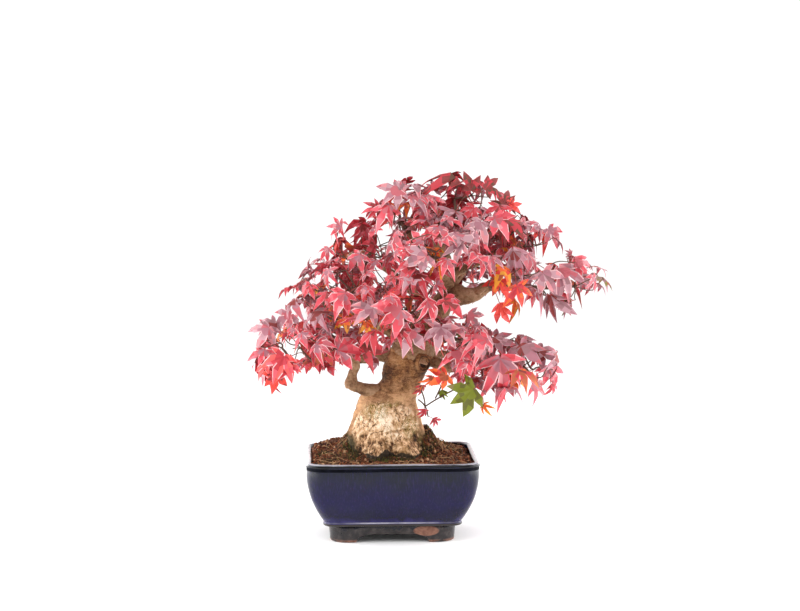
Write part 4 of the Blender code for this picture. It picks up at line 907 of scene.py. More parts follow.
def bough_finish():
    """Brown-grey bark with painted shade: darker in its wrinkles and lighter on its knobs, by
    the mesh's 'relief' number.
    """
    finish = Finish("bough_bark", (121, 84, 57), 0.88)
    # painted shade: the mesh's 'relief' number, lighter on knobs and darker in wrinkles
    relief = finish.attribute("relief")
    fine = finish.noise(2.2, 6, 0.7)
    mixed = relief.range(0, 1, 0, 0.6) + fine.range(0.25, 0.75, 0, 0.4)
    finish.feed(Base_Color=mixed.ramp(
        (0.0, (50, 28, 14)), (0.3, (100, 68, 44)), (0.5, (146, 112, 80)),
        (0.75, (182, 148, 116)), (1.0, (212, 184, 156))))
    finish.bump(fine, 0.8, 0.6)
    return finish.material


def plain(name, colour, roughness):
    """A finish of one colour."""
    return Finish(name, colour, roughness).material


# pot ------------------------------------------------------------------------------------

def rounded_outline():
    """Once round a rectangle with round corners. Each point's sign tells which side of the
    middle it lies on, running evenly from 1 to -1 along a side, and its way is where the
    outline faces: a ring is sign times (half size - corner) plus corner times way."""
    signs, ways = [], []
    corners = np.array(((1, 1), (-1, 1), (-1, -1), (1, -1)), float)
    for quarter in range(4):
        angle = np.pi / 2 * (quarter + np.arange(ARC_POINTS) / (ARC_POINTS - 1))
        signs.append(np.repeat(corners[quarter:quarter + 1], ARC_POINTS, axis=0))
        ways.append(headings(angle))
        share = (np.arange(1, SIDE_POINTS + 1) / (SIDE_POINTS + 1))[:, None]
        signs.append(corners[quarter] * (1 - share) + corners[(quarter + 1) % 4] * share)
        ways.append(np.repeat(ways[-1][-1:], SIDE_POINTS, axis=0))
    return np.concatenate(signs), np.concatenate(ways)


def outline_ring(inset, corner):
    """Points in X and Y of the ring this far inside the rim."""
    signs, ways = rounded_outline()
    half = np.array((POT_WIDTH / 2, POT_DEPTH / 2)) - inset
    return signs * (half - corner) + corner * ways


def bowl_inset(z):
    """How far inside the rim the wall is: a power of the share of the way down to its base."""
    share = np.clip((POT_HEIGHT - z) / (POT_HEIGHT - BOWL_BASE), 0, None)
    return BOWL_INSET * share ** BOWL_BULGE


def half_cosine(share):
    """Rises from 0 to 1 as the share does, level at both ends."""
    return 0.5 - 0.5 * np.cos(np.pi * np.clip(share, 0, 1))


def arch_rise(ring):
    """Height of the foot's lower edge round the pot: 0 on the feet and a flat arch between
    them on each side. An arch's end is two half cosines, one steep and one gentle."""
    rise = np.zeros(len(ring))
    for axis, span in enumerate(ARCH_SPANS):
        out = np.abs(ring[:, 1 - axis])
        inside = span / 2 - np.abs(ring[:, axis])
        slope = (ARCH_STEEP_SHARE * half_cosine(inside / ARCH_STEEP)
                 + (1 - ARCH_STEEP_SHARE) * half_cosine(inside / ARCH_GENTLE
                                                        - ARCH_GENTLE_START))
        rise = np.maximum(rise, (out > out.max() - 3.0) * ARCH_HEIGHT * slope)
    return rise


def bowl_profile():
    """Insets and heights from under the bead, round it, up the bulging wall and into the
    hollow under the lip, round the rolled lip and down inside to the floor."""
    def turn(first, last, count):
        return [(math.cos(angle), math.sin(angle))
                for angle in np.radians(np.linspace(first, last, count))]

    inside = BOWL_INSET - 0.5
    wall_z = np.linspace(WALL_FOOT, POT_HEIGHT - 2 * LIP, 34)
    hollow = LIP_UNDERCUT * np.clip((wall_z - LIP_HOLLOW_FOOT) / LIP_HOLLOW_RISE, 0, 1) ** 2
    down_z = np.linspace(POT_HEIGHT - INNER_WALL_TOP, BOWL_FLOOR, 16)
    return np.array([
        (inside + 3.0, FOOT_HEIGHT - 0.2),
        *((inside + BEAD_OUT - BEAD_HALF_WIDTH * cosine, BEAD_HEIGHT + BEAD_HALF_HEIGHT * sine)
          for cosine, sine in turn(-80, 75, 8)),
        *zip(bowl_inset(wall_z) + hollow, wall_z),
        *((LIP * (1 - cosine), POT_HEIGHT - LIP + LIP * sine)
          for cosine, sine in turn(-50, 90, 11)),
        *((LIP + (POT_WALL - LIP) * sine, POT_HEIGHT + INNER_LIP_DROP * (cosine - 1))
          for cosine, sine in turn(12, 90, 6)),
        *zip(POT_WALL + bowl_inset(down_z), down_z)])


def ring_points(inset, corner, z):
    """The outline's ring at this height, or at a height for each of its points."""
    ring = outline_ring(inset, corner)
    return np.column_stack([ring, np.broadcast_to(z, len(ring))])


def build_bowl(glaze, under_lip):
    """The profile carried round the rounded rectangle, with a slow unevenness of the glaze,
    and closed by a floor."""
    rows = np.array([
        ring_points(inset, max(POT_CORNER - min(inset, POT_WALL), BOWL_LEAST_CORNER), z)
        for inset, z in bowl_profile()])
    rows[..., :2] *= 1 + WAVER * smooth_noise(rows, WAVER_SIZE, 5)[..., None]
    near_lip = np.clip((rows[..., 2] - 70) / 8, 0, 1)
    rows[..., 2] += LIP_WAVER * near_lip * smooth_noise(rows * (1, 1, 0), LIP_WAVER_SIZE, 6)
    count, columns = rows.shape[:2]
    slots = np.zeros((count + 1, columns), int)
    slots[UNDER_LIP_ROWS] = 1
    return new_shell("pot_bowl", rows, (0, 0, FOOT_HEIGHT - 0.2), (0, 0, BOWL_FLOOR),
                     [glaze, under_lip], slots=slots.reshape(-1))


def build_foot(clay):
    """A skirt under the bowl. Its outer face drops from the ledge to a lower edge that rises
    in an arch between the corner feet, goes under the edge and up again inside, and ends at
    the flat underside."""
    rise = arch_rise(outline_ring(FOOT_INSET, POT_CORNER))
    rows = [ring_points(FOOT_INSET + inset, max(POT_CORNER - inset, FOOT_LEAST_CORNER),
                        rise + lift + share * (FOOT_HEIGHT - rise))
            for inset, share, lift in FOOT_PROFILE]
    return new_shell("pot_foot", np.array(rows)[::-1], (0, 0, UNDERSIDE), (0, 0, FOOT_HEIGHT),
                     [clay])


# soil -----------------------------------------------------------------------------------

def soil_height(x, y):
    """Level at the wall, heaped against the trunk's sides and back by an exponential of the
    distance from the trunk's oval, with a few mounds, each a bell across."""
    _, _, _, trunk_x, trunk_y = TRUNK_LEVELS[2]
    out = np.maximum(np.hypot(x / trunk_x, y / trunk_y) - 1, 0)
    behind = 1 / (1 + np.exp((FRONT_LINE - y) / FRONT_BLEND))
    heap = HEAP * (HEAP_AT_FRONT + (1 - HEAP_AT_FRONT) * behind) * np.exp(-HEAP_FALL * out)
    for middle_x, middle_y, reach_x, reach_y, height in MOUNDS:
        heap += height * np.exp(-((x - middle_x) / reach_x) ** 2
                                - ((y - middle_y) / reach_y) ** 2)
    return SOIL_EDGE + heap


def soil_ring(gap, z=SOIL_EDGE):
    """The ring this far inside the pot's wall."""
    return outline_ring(POT_WALL + gap + bowl_inset(z), POT_CORNER - POT_WALL)


def soil_spots(rng, count, low=0.3, high=0.985):
    """Random places on the soil: shares of the way from the middle to the pot's wall."""
    edge = soil_ring(SPOT_GAP)
    share = np.sqrt(rng.uniform(low ** 2, high ** 2, count))[:, None]
    spot = edge[rng.integers(len(edge), size=count)] * share
    spot += rng.normal(0, 1.2, spot.shape) * (1 - share)
    return spot[:, 0], spot[:, 1]


def build_soil(soil):
    """Shares of the wall's ring drawn in to the middle, at the soil's height plus rough noise,
    over a closed underside."""
    shares = np.linspace(1.0, SOIL_EYE, SOIL_RINGS)[:, None, None]
    top = soil_ring(SOIL_GAP)[None] * shares
    spots = np.dstack([top, soil_height(top[..., 0], top[..., 1])])
    lumps = 1.3 * rough_noise(spots, 9.0, 4, 31) + 0.7 * rough_noise(spots, 2.4, 2, 35)
    spots[..., 2] += lumps * np.clip((1.0 - shares[..., 0]) * 22, 0.15, 1)
    floor = soil_ring(SOIL_GAP, SOIL_FLOOR)
    under = np.column_stack([floor, np.full(len(floor), SOIL_FLOOR)])[None]
    return new_shell("soil_bed", np.concatenate([under, spots]), (0, 0, SOIL_FLOOR),
                     (0, 0, SOIL_EDGE + HEAP * 0.5), [soil])


def pebble_shape():
    """The twelve points and twenty faces of an icosahedron of radius 1."""
    golden = (1 + 5 ** 0.5) / 2
    base = np.array([(s, t * golden) for s in (-1, 1) for t in (-1, 1)])
    zero = np.zeros((4, 1))
    points = np.concatenate([np.hstack([base, zero]), np.hstack([zero, base]),
                             np.hstack([base[:, 1:], zero, base[:, :1]])])
    points /= np.linalg.norm(points[0])
    gaps = length(points[:, None] - points[None])
    near = (gaps > 0.1) & (gaps < 1.1)
    faces = [(i, j, k) for i in range(12) for j in range(i + 1, 12) for k in range(j + 1, 12)
             if near[i, j] and near[j, k] and near[i, k]]
    faces = np.array(faces)
    first, second, third = np.moveaxis(points[faces], 1, 0)
    inwards = (np.cross(second - first, third - first) * first).sum(1) < 0
    faces[inwards] = faces[inwards][:, ::-1]
    return points, faces


def build_granules(materials):
    """Crumbs of soil: an icosahedron with each corner's radius drawn at random, squashed along
    three axes, turned, and half sunk into the bed."""
    rng = np.random.default_rng(71)
    shape, faces = pebble_shape()
    x, y = soil_spots(rng, CRUMBS)
    size = rng.gamma(5.0, 0.2, CRUMBS)[:, None] * rng.uniform(0.7, 1.3, (CRUMBS, 3))
    corners = shape[None] * rng.uniform(0.72, 1.15, (CRUMBS, 12, 1)) * size[:, None]
    turn = rng.uniform(0, 2 * np.pi, CRUMBS)[:, None]
    turned = np.stack([corners[..., 0] * np.cos(turn) - corners[..., 1] * np.sin(turn),
                       corners[..., 0] * np.sin(turn) + corners[..., 1] * np.cos(turn),
                       corners[..., 2]], -1)
    spots = np.stack([x, y, soil_height(x, y) + 0.5 + rng.normal(0, 0.4, CRUMBS)], -1)
    slots = np.repeat(rng.choice(len(materials), CRUMBS, p=CRUMB_SHARES), len(faces))
    return new_piece("soil_crumbs", turned + spots[:, None],
                     [copied_faces(faces, 12, CRUMBS)], materials, slots, smooth=False)


def build_fibres(materials):
    """Rootlets and needles lying on the soil: thin tubes along arcs that start and end in it
    and hump up between, with a random bend."""
    rng = np.random.default_rng(72)
    x, y = soil_spots(rng, FIBRES, 0.45, 0.93)
    heading = rng.uniform(0, 2 * np.pi, FIBRES)
    step = (rng.uniform(6, 26, FIBRES) / FIBRE_ROWS)[:, None]
    bend = rng.normal(0, 1.1, FIBRES)
    t = np.linspace(-0.5, 0.5, FIBRE_ROWS)[None]
    course = heading[:, None] + bend[:, None] * t
    px = x[:, None] + np.cumsum(np.cos(course), 1) * step
    py = y[:, None] + np.cumsum(np.sin(course), 1) * step
    reach = np.maximum(np.abs(px) / (POT_WIDTH / 2 - 9), np.abs(py) / (POT_DEPTH / 2 - 9))
    keep = reach.max(axis=1) < 1
    hump = rng.uniform(0.5, 3.2, FIBRES)[:, None] * (1 - (2 * t) ** 2)
    paths = np.stack([px, py, soil_height(px, py) + 0.9 + hump], -1)[keep]
    radii = np.repeat(rng.uniform(0.14, 0.36, FIBRES)[keep][:, None], FIBRE_ROWS, axis=1)
    per_part = (FIBRE_SIDES * (FIBRE_ROWS - 1), 1, 1)       # the belt and the two caps
    slots = np.concatenate([np.repeat(rng.choice(len(materials), len(paths)), per)
                            for per in per_part])
    return new_tubes("soil_fibres", paths, radii, FIBRE_SIDES, materials, slots)


def build_moss(materials):
    """Tufts of moss against the trunk and on the bed: thousands of three-sided blades, each
    a point drawn out from a small foot along a random way about the slope's upward one."""
    rng = np.random.default_rng(73)
    feet = np.concatenate([rng.normal((x, y), (sx, sy), (count, 2))
                           for x, y, sx, sy, count in MOSS_BEDS])
    trunk = np.hypot(feet[:, 0] / 34, (feet[:, 1] + 2) / 32)
    feet = feet[(trunk > 0.95) & (np.abs(feet[:, 0]) < 76) & (np.abs(feet[:, 1]) < 58)]
    count = len(feet)
    base = np.column_stack([feet, soil_height(feet[:, 0], feet[:, 1]) + 0.2])
    way = rng.normal(0, 0.55, (count, 3)) + (0, 0, 1)
    tip = base + way * rng.uniform(1.2, 3.4, (count, 1))
    angle = rng.uniform(0, 2 * np.pi, (count, 1)) + np.array((0, 2.1, 4.2))
    ring = base[:, None] + MOSS_FOOT * np.stack([np.cos(angle), np.sin(angle), 0 * angle], -1)
    faces = np.array(((0, 1, 3), (1, 2, 3), (2, 0, 3), (2, 1, 0)))
    slots = np.repeat(rng.choice(len(materials), count, p=MOSS_SHARES), len(faces))
    return new_piece("moss_tufts", np.concatenate([ring, tip[:, None]], axis=1),
                     [copied_faces(faces, 4, count)], materials, slots, smooth=False)


# trunk and limbs ------------------------------------------------------------------------

def trunk_section(z):
    """Middle and half widths of the trunk at each height, between its levels."""
    levels = TRUNK_LEVELS
    return [np.interp(z, levels[:, 0], levels[:, i]) for i in range(1, 5)]


def burl_share(points):
    """1 on the rough burl over the foot and 0 above it. Its upper edge is a flattened arch,
    torn by noise."""
    out = np.clip(np.abs(points[..., 0] - BURL_MIDDLE) / BURL_HALF, 0, 1) ** 3.2
    foot = TRUNK_LEVELS[0, 0] - 4
    edge = foot + (BURL_TOP - foot) * (1 - out) ** 0.45
    edge -= 0.2 * np.maximum(points[..., 1], 0)
    tear = 2.2 * smooth_noise(points, 9.0, 41) + 1.6 * smooth_noise(points, 3.5, 42)
    below = np.clip((edge + tear - points[..., 2]) / BURL_BLEND + 0.3, 0, 1)
    left = BURL_LEFT - BURL_LEFT_LEAN * (np.minimum(points[..., 2], BURL_LEFT_TOP) - foot)
    return below * np.clip((points[..., 0] - left + tear) / 3.0, 0, 1)


def swelling_at(points, middle, reach):
    """1 at a place and falling off round it as a bell, by the reach along each axis."""
    away = (points - np.array(middle)) / np.array(reach)
    return np.exp(-(away ** 2).sum(-1))


def foot_relief(points):
    """The trunk's own features: a jagged crack across the burl and one down from it, a toe
    that runs out on the right, and the bells of its swellings and hollows."""
    x, y, z = points[..., 0], points[..., 1], points[..., 2]
    front = y < 0
    line = z - CRACK_HEIGHT - CRACK_SLOPE * (x + 5) - 2.2 * smooth_noise(points, 5.0, 43)
    crack = np.exp(-line ** 2) * np.clip(3 - np.abs(x - 4) / 4, 0, 1) * front
    upright = x + 1 - SPLIT_LEAN * (z - 95) - 2.4 * smooth_noise(points, 6.0, 44)
    split = np.exp(-(upright / SPLIT_WIDTH) ** 2) * np.clip((107 - z) / 6, 0, 1) * front
    fall = TOE_FALL * np.clip((x - 8) / 26, 0, 1)
    toe = np.exp(-((z - TOE_HEIGHT + fall) / TOE_WIDTH) ** 2) * (x > 4) * (x < 36) * front
    relief = -CRACK_DEPTH * crack - SPLIT_DEPTH * split + TOE_RISE * toe
    for height, middle, reach in SWELLINGS:
        relief += height * swelling_at(points, middle, reach)
    return relief


def knot_relief(points):
    """A raised ring with a sunken middle, by the distance to the knot's own middle."""
    out = length(points - np.array(KNOT)) / KNOT_RADIUS
    return (KNOT_RIDGE * np.exp(-((out - KNOT_RING) / KNOT_RING_WIDTH) ** 2)
            - KNOT_PIT * np.exp(-(out / KNOT_PIT_WIDTH) ** 2))


def trunk_relief(points, burl):
    """How far the bark stands out. The burl is lumps, grains and upright flakes with pits
    between them, and the bark above has shallow wrinkles that run round it."""
    upright = points * np.array((1.0, 1.0, 0.45))
    flakes = 1 - 2 * np.abs(smooth_noise(upright, 1.9, 50))
    rough = (0.9 * rough_noise(points, 11.0, 2, 51)
             + 2.0 * (0.55 - grain_noise(points, 4.6, 52))
             + 0.9 * (0.55 - grain_noise(points, 3.0, 53)) + 0.5 * flakes)
    level = points * np.array((0.4, 0.4, 1.0))
    wrinkle = 1 - 2 * np.abs(smooth_noise(level, 3.0, 54))
    folds = 1 - 2 * np.abs(smooth_noise(level, 7.5, 57))
    smooth = (0.8 * rough_noise(points, 20.0, 2, 55) + 0.35 * wrinkle + 0.5 * folds
              + 0.35 * rough_noise(points, 2.6, 2, 56))
    return burl * rough + (1 - burl) * smooth


def build_trunk(bark):
    """Ovals at every height, drawn out into buttresses that die away up the foot, and pushed
    out or in by the bark's relief. The top is drawn together into a low dome."""
    foot, top = TRUNK_LEVELS[0, 0], TRUNK_LEVELS[-1, 0]
    dome = np.linspace(0.2, 1.5, DOME_ROWS)
    z = np.concatenate([np.linspace(foot, top, BARK_ROWS - DOME_ROWS),
                        top + DOME_RISE * np.sin(dome)])
    close = np.concatenate([np.ones(BARK_ROWS - DOME_ROWS), np.cos(dome)])
    soften = np.ones(9) / 9
    pad = np.pad(np.stack(trunk_section(z)), ((0, 0), (4, 4)), mode="edge")
    x, y, half_x, half_y = (np.convolve(row, soften, "valid")[:, None] for row in pad)
    angle = 2 * np.pi * np.arange(BARK_COLUMNS) / BARK_COLUMNS
    flare = ROOT_REACH * np.clip(1 - (z - foot) / ROOT_RISE, 0, None) ** ROOT_POWER
    lobe = 0.5 + 0.5 * np.cos(ROOTS * angle + ROOT_TURN)
    reach = 1 + flare[:, None] * (lobe ** 2 - LOBE_LEVEL)[None]
    reach += WAVE_REACH * np.sin(3 * angle[None] + WAVE_TURN * z[:, None])
    reach *= close[:, None]
    points = np.stack([x + half_x * reach * np.cos(angle), y + half_y * reach * np.sin(angle),
                       np.repeat(z[:, None], BARK_COLUMNS, axis=1)], -1)
    burl = burl_share(points)
    bark_relief = trunk_relief(points, burl)
    relief = bark_relief + foot_relief(points) + knot_relief(points)
    way = np.stack([np.cos(angle), np.sin(angle), 0 * angle], -1)
    shaped = points + way[None] * (relief * (0.25 + 0.75 * close[:, None]))[..., None]
    # Painted shade: the bark is painted lighter where its relief stands out and darker in its
    # cracks, pits and hollows, and the mesh carries this as 'relief'.
    hollows = np.minimum(relief - bark_relief, 0)
    shade = np.clip(0.5 + RELIEF_SHADE * bark_relief + HOLLOW_SHADE * hollows, 0, 1)
    return new_shell("trunk_bark", shaped, (x[0, 0], y[0, 0], z[0]),
                     (x[-1, 0], y[-1, 0], z[-1] + 0.2), [bark],
                     attributes={"relief": np.append(shade, (0.4, 0.4)),
                                 "burl": np.append(burl, (1, 0))})


def limb_radii(path, root_radius, tip_radius):
    """Tapers from root to tip, with a collar where it leaves its parent."""
    share = np.linspace(0, 1, len(path))
    collar = 1 + COLLAR * np.exp(-((share - COLLAR_PLACE) / COLLAR_WIDTH) ** 2)
    return (root_radius + (tip_radius - root_radius) * share ** 0.8) * collar


def build_limb(name, bark):
    """Rings round the limb's smooth path, pushed out by wrinkles that run round it and by
    knobs along it."""
    limb = LIMBS[name]
    path = smooth_path(limb.points, LIMB_STEP)
    sides = THICK_SIDES if limb.root_radius > THICK_LIMB else LIMB_SIDES
    radii = limb_radii(path, limb.root_radius, limb.tip_radius)
    points = tube_points(path[None], radii[None], sides)[0]
    size = max(radii.mean(), 3.0)
    wrinkle = 1 - np.abs(smooth_noise(points, 0.55 * size, 62))
    relief = (KNOBS * rough_noise(points, 2.2 * size, 3, 61) + WRINKLES * (wrinkle ** 3 - 0.4)
              + ROUGHNESS * rough_noise(points, 2.0, 2, 63))
    shaped = path[:, None] + (points - path[:, None]) * (1 + relief[..., None])
    # Painted shade: lighter on the knobs and darker in the wrinkles, carried by the mesh as
    # 'relief'.
    shade = np.clip(0.5 + 2.6 * relief, 0, 1)
    faces = tube_faces(1, len(path), sides)
    return new_piece(f"{name}_bark", shaped, faces, [bark], attributes={"relief": shade})


# foliage --------------------------------------------------------------------------------

def space_depths(points):
    """How far out each point lies in every mass's space: 1 at its edge."""
    away = (points[..., None, :] - MIDDLES) / HALVES
    return np.sqrt((away ** 2).sum(-1))


def own_depth(points, mass):
    """The depth in the mass's own space, or 2 where another mass's heart is nearer."""
    depths = space_depths(points)
    own = depths[..., mass].copy()
    depths[..., mass] = 9.0
    own[depths.min(-1) < own] = 2.0
    return own


def random_spots(rng, mass, count, nearest, farthest):
    """Points between two shares of the way out from the middle of the mass's space."""
    way = rng.normal(size=(count, 3))
    way /= length(way)[:, None]
    depth = rng.uniform(nearest ** 2, farthest ** 2, (count, 1)) ** 0.5
    return MIDDLES[mass] + HALVES[mass] * way * depth


def clear_spots(rng, mass, count, depths, margin):
    """Those of so many random spots that are the mass's own and this far from the air."""
    pool = random_spots(rng, mass, count, *depths)
    return pool[(own_depth(pool, mass) < 1) & ~in_the_air(pool, margin)]


def spread_out(rng, pool, count, start, tries=40):
    """Picks points from the pool one after another: of a handful drawn at random, each time
    the one farthest from all those before."""
    chosen = [np.asarray(start, float)]
    picked = []
    for _ in range(count):
        some = rng.integers(len(pool), size=tries)
        gaps = length(pool[some][:, None] - np.array(chosen)[None]).min(1)
        best = some[gaps.argmax()]
        picked.append(best)
        chosen.append(pool[best])
    return np.array(picked)


def grow_twigs(start, way, tips):
    """Joins each tip to the point that gives the shortest, most direct way from the stem.
    Returns the points and each one's parent."""
    order = length(tips - start).argsort()
    points = [start, start + way * STEM_LENGTH]
    parents = [0, 0]
    lengths = [0.0, STEM_LENGTH]
    for tip in tips[order]:
        away = length(np.array(points) - tip)
        reach = away + DIRECTNESS * np.array(lengths)
        parent = 1 + int(reach[1:].argmin())
        points.append(tip)
        parents.append(parent)
        lengths.append(lengths[parent] + away[parent])
    return np.array(points), np.array(parents)


def carried_loads(parents):
    """How many twigs hang on each one, itself included."""
    loads = np.ones(len(parents))
    for i in range(len(parents) - 1, 0, -1):
        loads[parents[i]] += loads[i]
    return loads


def bowed_paths(starts, ends, start_ways, end_ways, rows):
    """Cubic curves: each leaves its start along one way and reaches its end along another,
    the ways scaled by a share of the gap between the two."""
    gap = length(ends - starts)[:, None] * BOW
    first, second = starts + start_ways * gap, ends - end_ways * gap
    t = np.linspace(0, 1, rows)[None, :, None]
    return ((1 - t) ** 3 * starts[:, None] + 3 * t * (1 - t) ** 2 * first[:, None]
            + 3 * t ** 2 * (1 - t) * second[:, None] + t ** 3 * ends[:, None])


def leaf_pool(rng, mass, joints):
    """Places for leaves' hearts in the mass's space, within a stalk's length of a joint, and
    each one's nearest joint."""
    pool = clear_spots(rng, mass, LEAF_POOL, LEAF_DEPTHS, LEAF_CLEAR)
    low, high = CROWN_BOX[:, 0] + CROWN_MARGINS[0], CROWN_BOX[:, 1] - CROWN_MARGINS[1]
    pool = pool[((pool > low) & (pool < high)).all(axis=1)]
    gaps = length(pool[:, None] - joints[None])
    suits = (gaps.min(1) > STALK_RANGE[0]) & (gaps.min(1) < STALK_RANGE[1])
    return pool[suits], gaps.argmin(1)[suits]


def grow_mass(mass):
    """One stem, its twigs as bowed paths, and its leaves' hearts, each with the place on a
    twig that its stalk comes from."""
    own = MASSES[MASS_NAMES[mass]]
    rng = np.random.default_rng(FIRST_SEED + mass)
    limb = LIMBS[own.limb]
    corners, far = np.array(limb.points, float), np.array(own.far, float)
    way = unit(corners[-1] - corners[-2])
    start = corners[-1] - way
    pool = clear_spots(rng, mass, TWIG_POOL, TWIG_DEPTHS, TWIG_CLEAR)
    far_way = unit(far - MIDDLES[mass])
    far_root = far - far_way * (LEAF_RADIUS + FAR_TWIG_MARGIN)
    tips = pool[spread_out(rng, pool, own.twigs - 1, start)]
    tips = np.concatenate([tips, far_root[None]])
    points, parents = grow_twigs(start, way, tips)
    thickness = TWIG_RADIUS * carried_loads(parents) ** TWIG_GROWTH
    radii = np.minimum(limb.tip_radius * 0.95, thickness)[1:, None]
    ends, up = points[1:], parents[1:]
    straight = unit(ends - points[up])
    before = unit(points[up] - points[parents[up]] + 1e-6) * (up > 0)[:, None]
    start_ways = unit(before + 0.6 * straight)
    end_ways = unit(straight + rng.normal(0, TWIG_STRAY, straight.shape) + TWIG_LIFT)
    paths = bowed_paths(points[up], ends, start_ways, end_ways, TWIG_ROWS)
    share = np.linspace(0, 1, TWIG_ROWS)[None]
    widths = radii * (1 - share) + np.maximum(radii * 0.75, TWIG_TIP_RADIUS) * share
    joints = paths[1:, TWIG_JOINTS].reshape(-1, 3)
    pool, nearest = leaf_pool(rng, mass, joints)
    wanted = round(own.leaves * LEAF_SHARE)
    picked = spread_out(rng, pool, wanted, far - far_way * LEAF_RADIUS, 60)
    return {"paths": paths, "widths": widths, "hearts": pool[picked],
            "roots": joints[nearest[picked]], "joints": joints,
            "sprays": nearest[picked] // len(TWIG_JOINTS), "mass": mass, "rng": rng}


def hang_sprig(growth):
    """Adds the sprig's bowed twigs to those of its mass."""
    ends = np.array([[behind(*spot) for spot in twig] for twig in SPRIG])
    joints = growth["joints"]
    ends[0, 0] = joints[length(joints - ends[0, 0]).argmin()]
    straight = unit(ends[:, 1] - ends[:, 0])
    paths = bowed_paths(ends[:, 0], ends[:, 1], unit(straight + (0.3, 0, 0.2)),
                        unit(straight + (-0.1, 0, -0.2)), TWIG_ROWS)
    more = {"paths": paths, "widths": np.full(paths.shape[:2], SPRIG_RADIUS),
            "joints": ends[:, 1]}
    growth.update({key: np.concatenate([growth[key], rows]) for key, rows in more.items()})


def leaf_ways(growth):
    """Each leaf follows its stalk outwards, hangs, shows its face outwards and up, and is
    then rolled a little about that."""
    rng, mass, hearts = growth["rng"], growth["mass"], growth["hearts"]
    up = np.array((0, 0, 1.0))
    out = (hearts - MIDDLES[mass]) / HALVES[mass]
    out[:, 2] = OUT_RISE * np.abs(out[:, 2])
    crown = (hearts - CROWN_HEART) * (1, 1, CROWN_RISE)
    out = unit(unit(out) + CROWN_PULL * unit(crown))
    stalk = unit(hearts - growth["roots"])
    hang = rng.uniform(0.0, 1.0, (len(hearts), 1))
    axes = unit(0.5 * stalk + 0.7 * out - hang * up + rng.normal(0, AXIS_STRAY, hearts.shape))
    faces = unit((0.3 + hang) * out + (1.35 - hang) * up
                 + rng.normal(0, FACE_STRAY, hearts.shape))
    return square_ways(axes, faces, rng.normal(0, ROLL, (len(hearts), 1)))


def square_ways(axes, faces, roll=0.0):
    """Three ways square to each other: along the leaf, across it and out of its face."""
    sides = unit(np.cross(faces, axes))
    axes = unit(np.cross(sides, faces))
    turned = axes * np.cos(roll) + sides * np.sin(roll)
    return turned, np.cross(faces, turned), faces


def view_ways():
    """Ways of the view: to the right, up, and back to the eye."""
    azimuth, elevation = math.radians(VIEW_AZIMUTH), math.radians(VIEW_ELEVATION)
    right = np.array((math.cos(azimuth), math.sin(azimuth), 0.0))
    back = np.array((math.sin(azimuth) * math.cos(elevation),
                     -math.cos(azimuth) * math.cos(elevation), math.sin(elevation)))
    return right, np.cross(back, right), back


def plane_of_view(points):
    """Where the points show in the plane of view, X and Z in millimetres, and their Y."""
    right, up, back = view_ways()
    away = points - TARGET
    scale = VIEW_DISTANCE / (VIEW_DISTANCE - away @ back)
    return TARGET[0] + away @ right * scale, TARGET[2] + away @ up * scale, points[..., 1]


def behind(x, z, y):
    """The point with this Y that shows at X and Z in the plane of view."""
    right, up, back = view_ways()
    eye = TARGET + VIEW_DISTANCE * back
    ray = TARGET + (x - TARGET[0]) * right + (z - TARGET[2]) * up - eye
    return eye + ray * (y - eye[1]) / ray[1]


def in_the_air(points, margin=0.0):
    """Which points show within a sky gap or a clearing, or nearer it than the margin."""
    x, z, y = plane_of_view(points)
    inside = np.zeros(x.shape, bool)
    for middle_x, middle_z, half_x, half_z, line in AIR:
        inside |= (y < line) & (np.hypot((x - middle_x) / (half_x + margin),
                                         (z - middle_z) / (half_z + margin)) < 1)
    return inside


def leaf_faces():
    """The faces of one leaf over its 77 points, with each one's lobe, its way out as a share
    of the lobe, and whether it is rim: for each lobe two quads in the palm, two belts of four
    quads, and four triangles to the tip."""
    quads, tips, about, tips_about = [], [], [], []
    four, rim = range(4), (1, 0, 0, 1)
    for lobe in range(LOBES):
        right, left = 1 + lobe, 2 + lobe
        inner_right, mid, inner_left = 7 + 3 * lobe + np.arange(3)
        base = (right, inner_right, mid, inner_left, left)
        belly = 22 + 5 * lobe + np.arange(5)
        taper = belly + 5 * LOBES
        quads += [(0, right, inner_right, mid), (0, mid, inner_left, left)]
        about += [(lobe, 0.2, 0)] * 2
        for low, high, out in ((base, belly, 0.48), (belly, taper, 0.7)):
            quads += [(low[i], high[i], high[i + 1], low[i + 1]) for i in four]
            about += [(lobe, out, edge) for edge in rim]
        tips += [(taper[i], 72 + lobe, taper[i + 1]) for i in four]
        tips_about += [(lobe, 0.9, edge) for edge in rim]
    return np.array(quads), np.array(tips), np.array(about + tips_about)


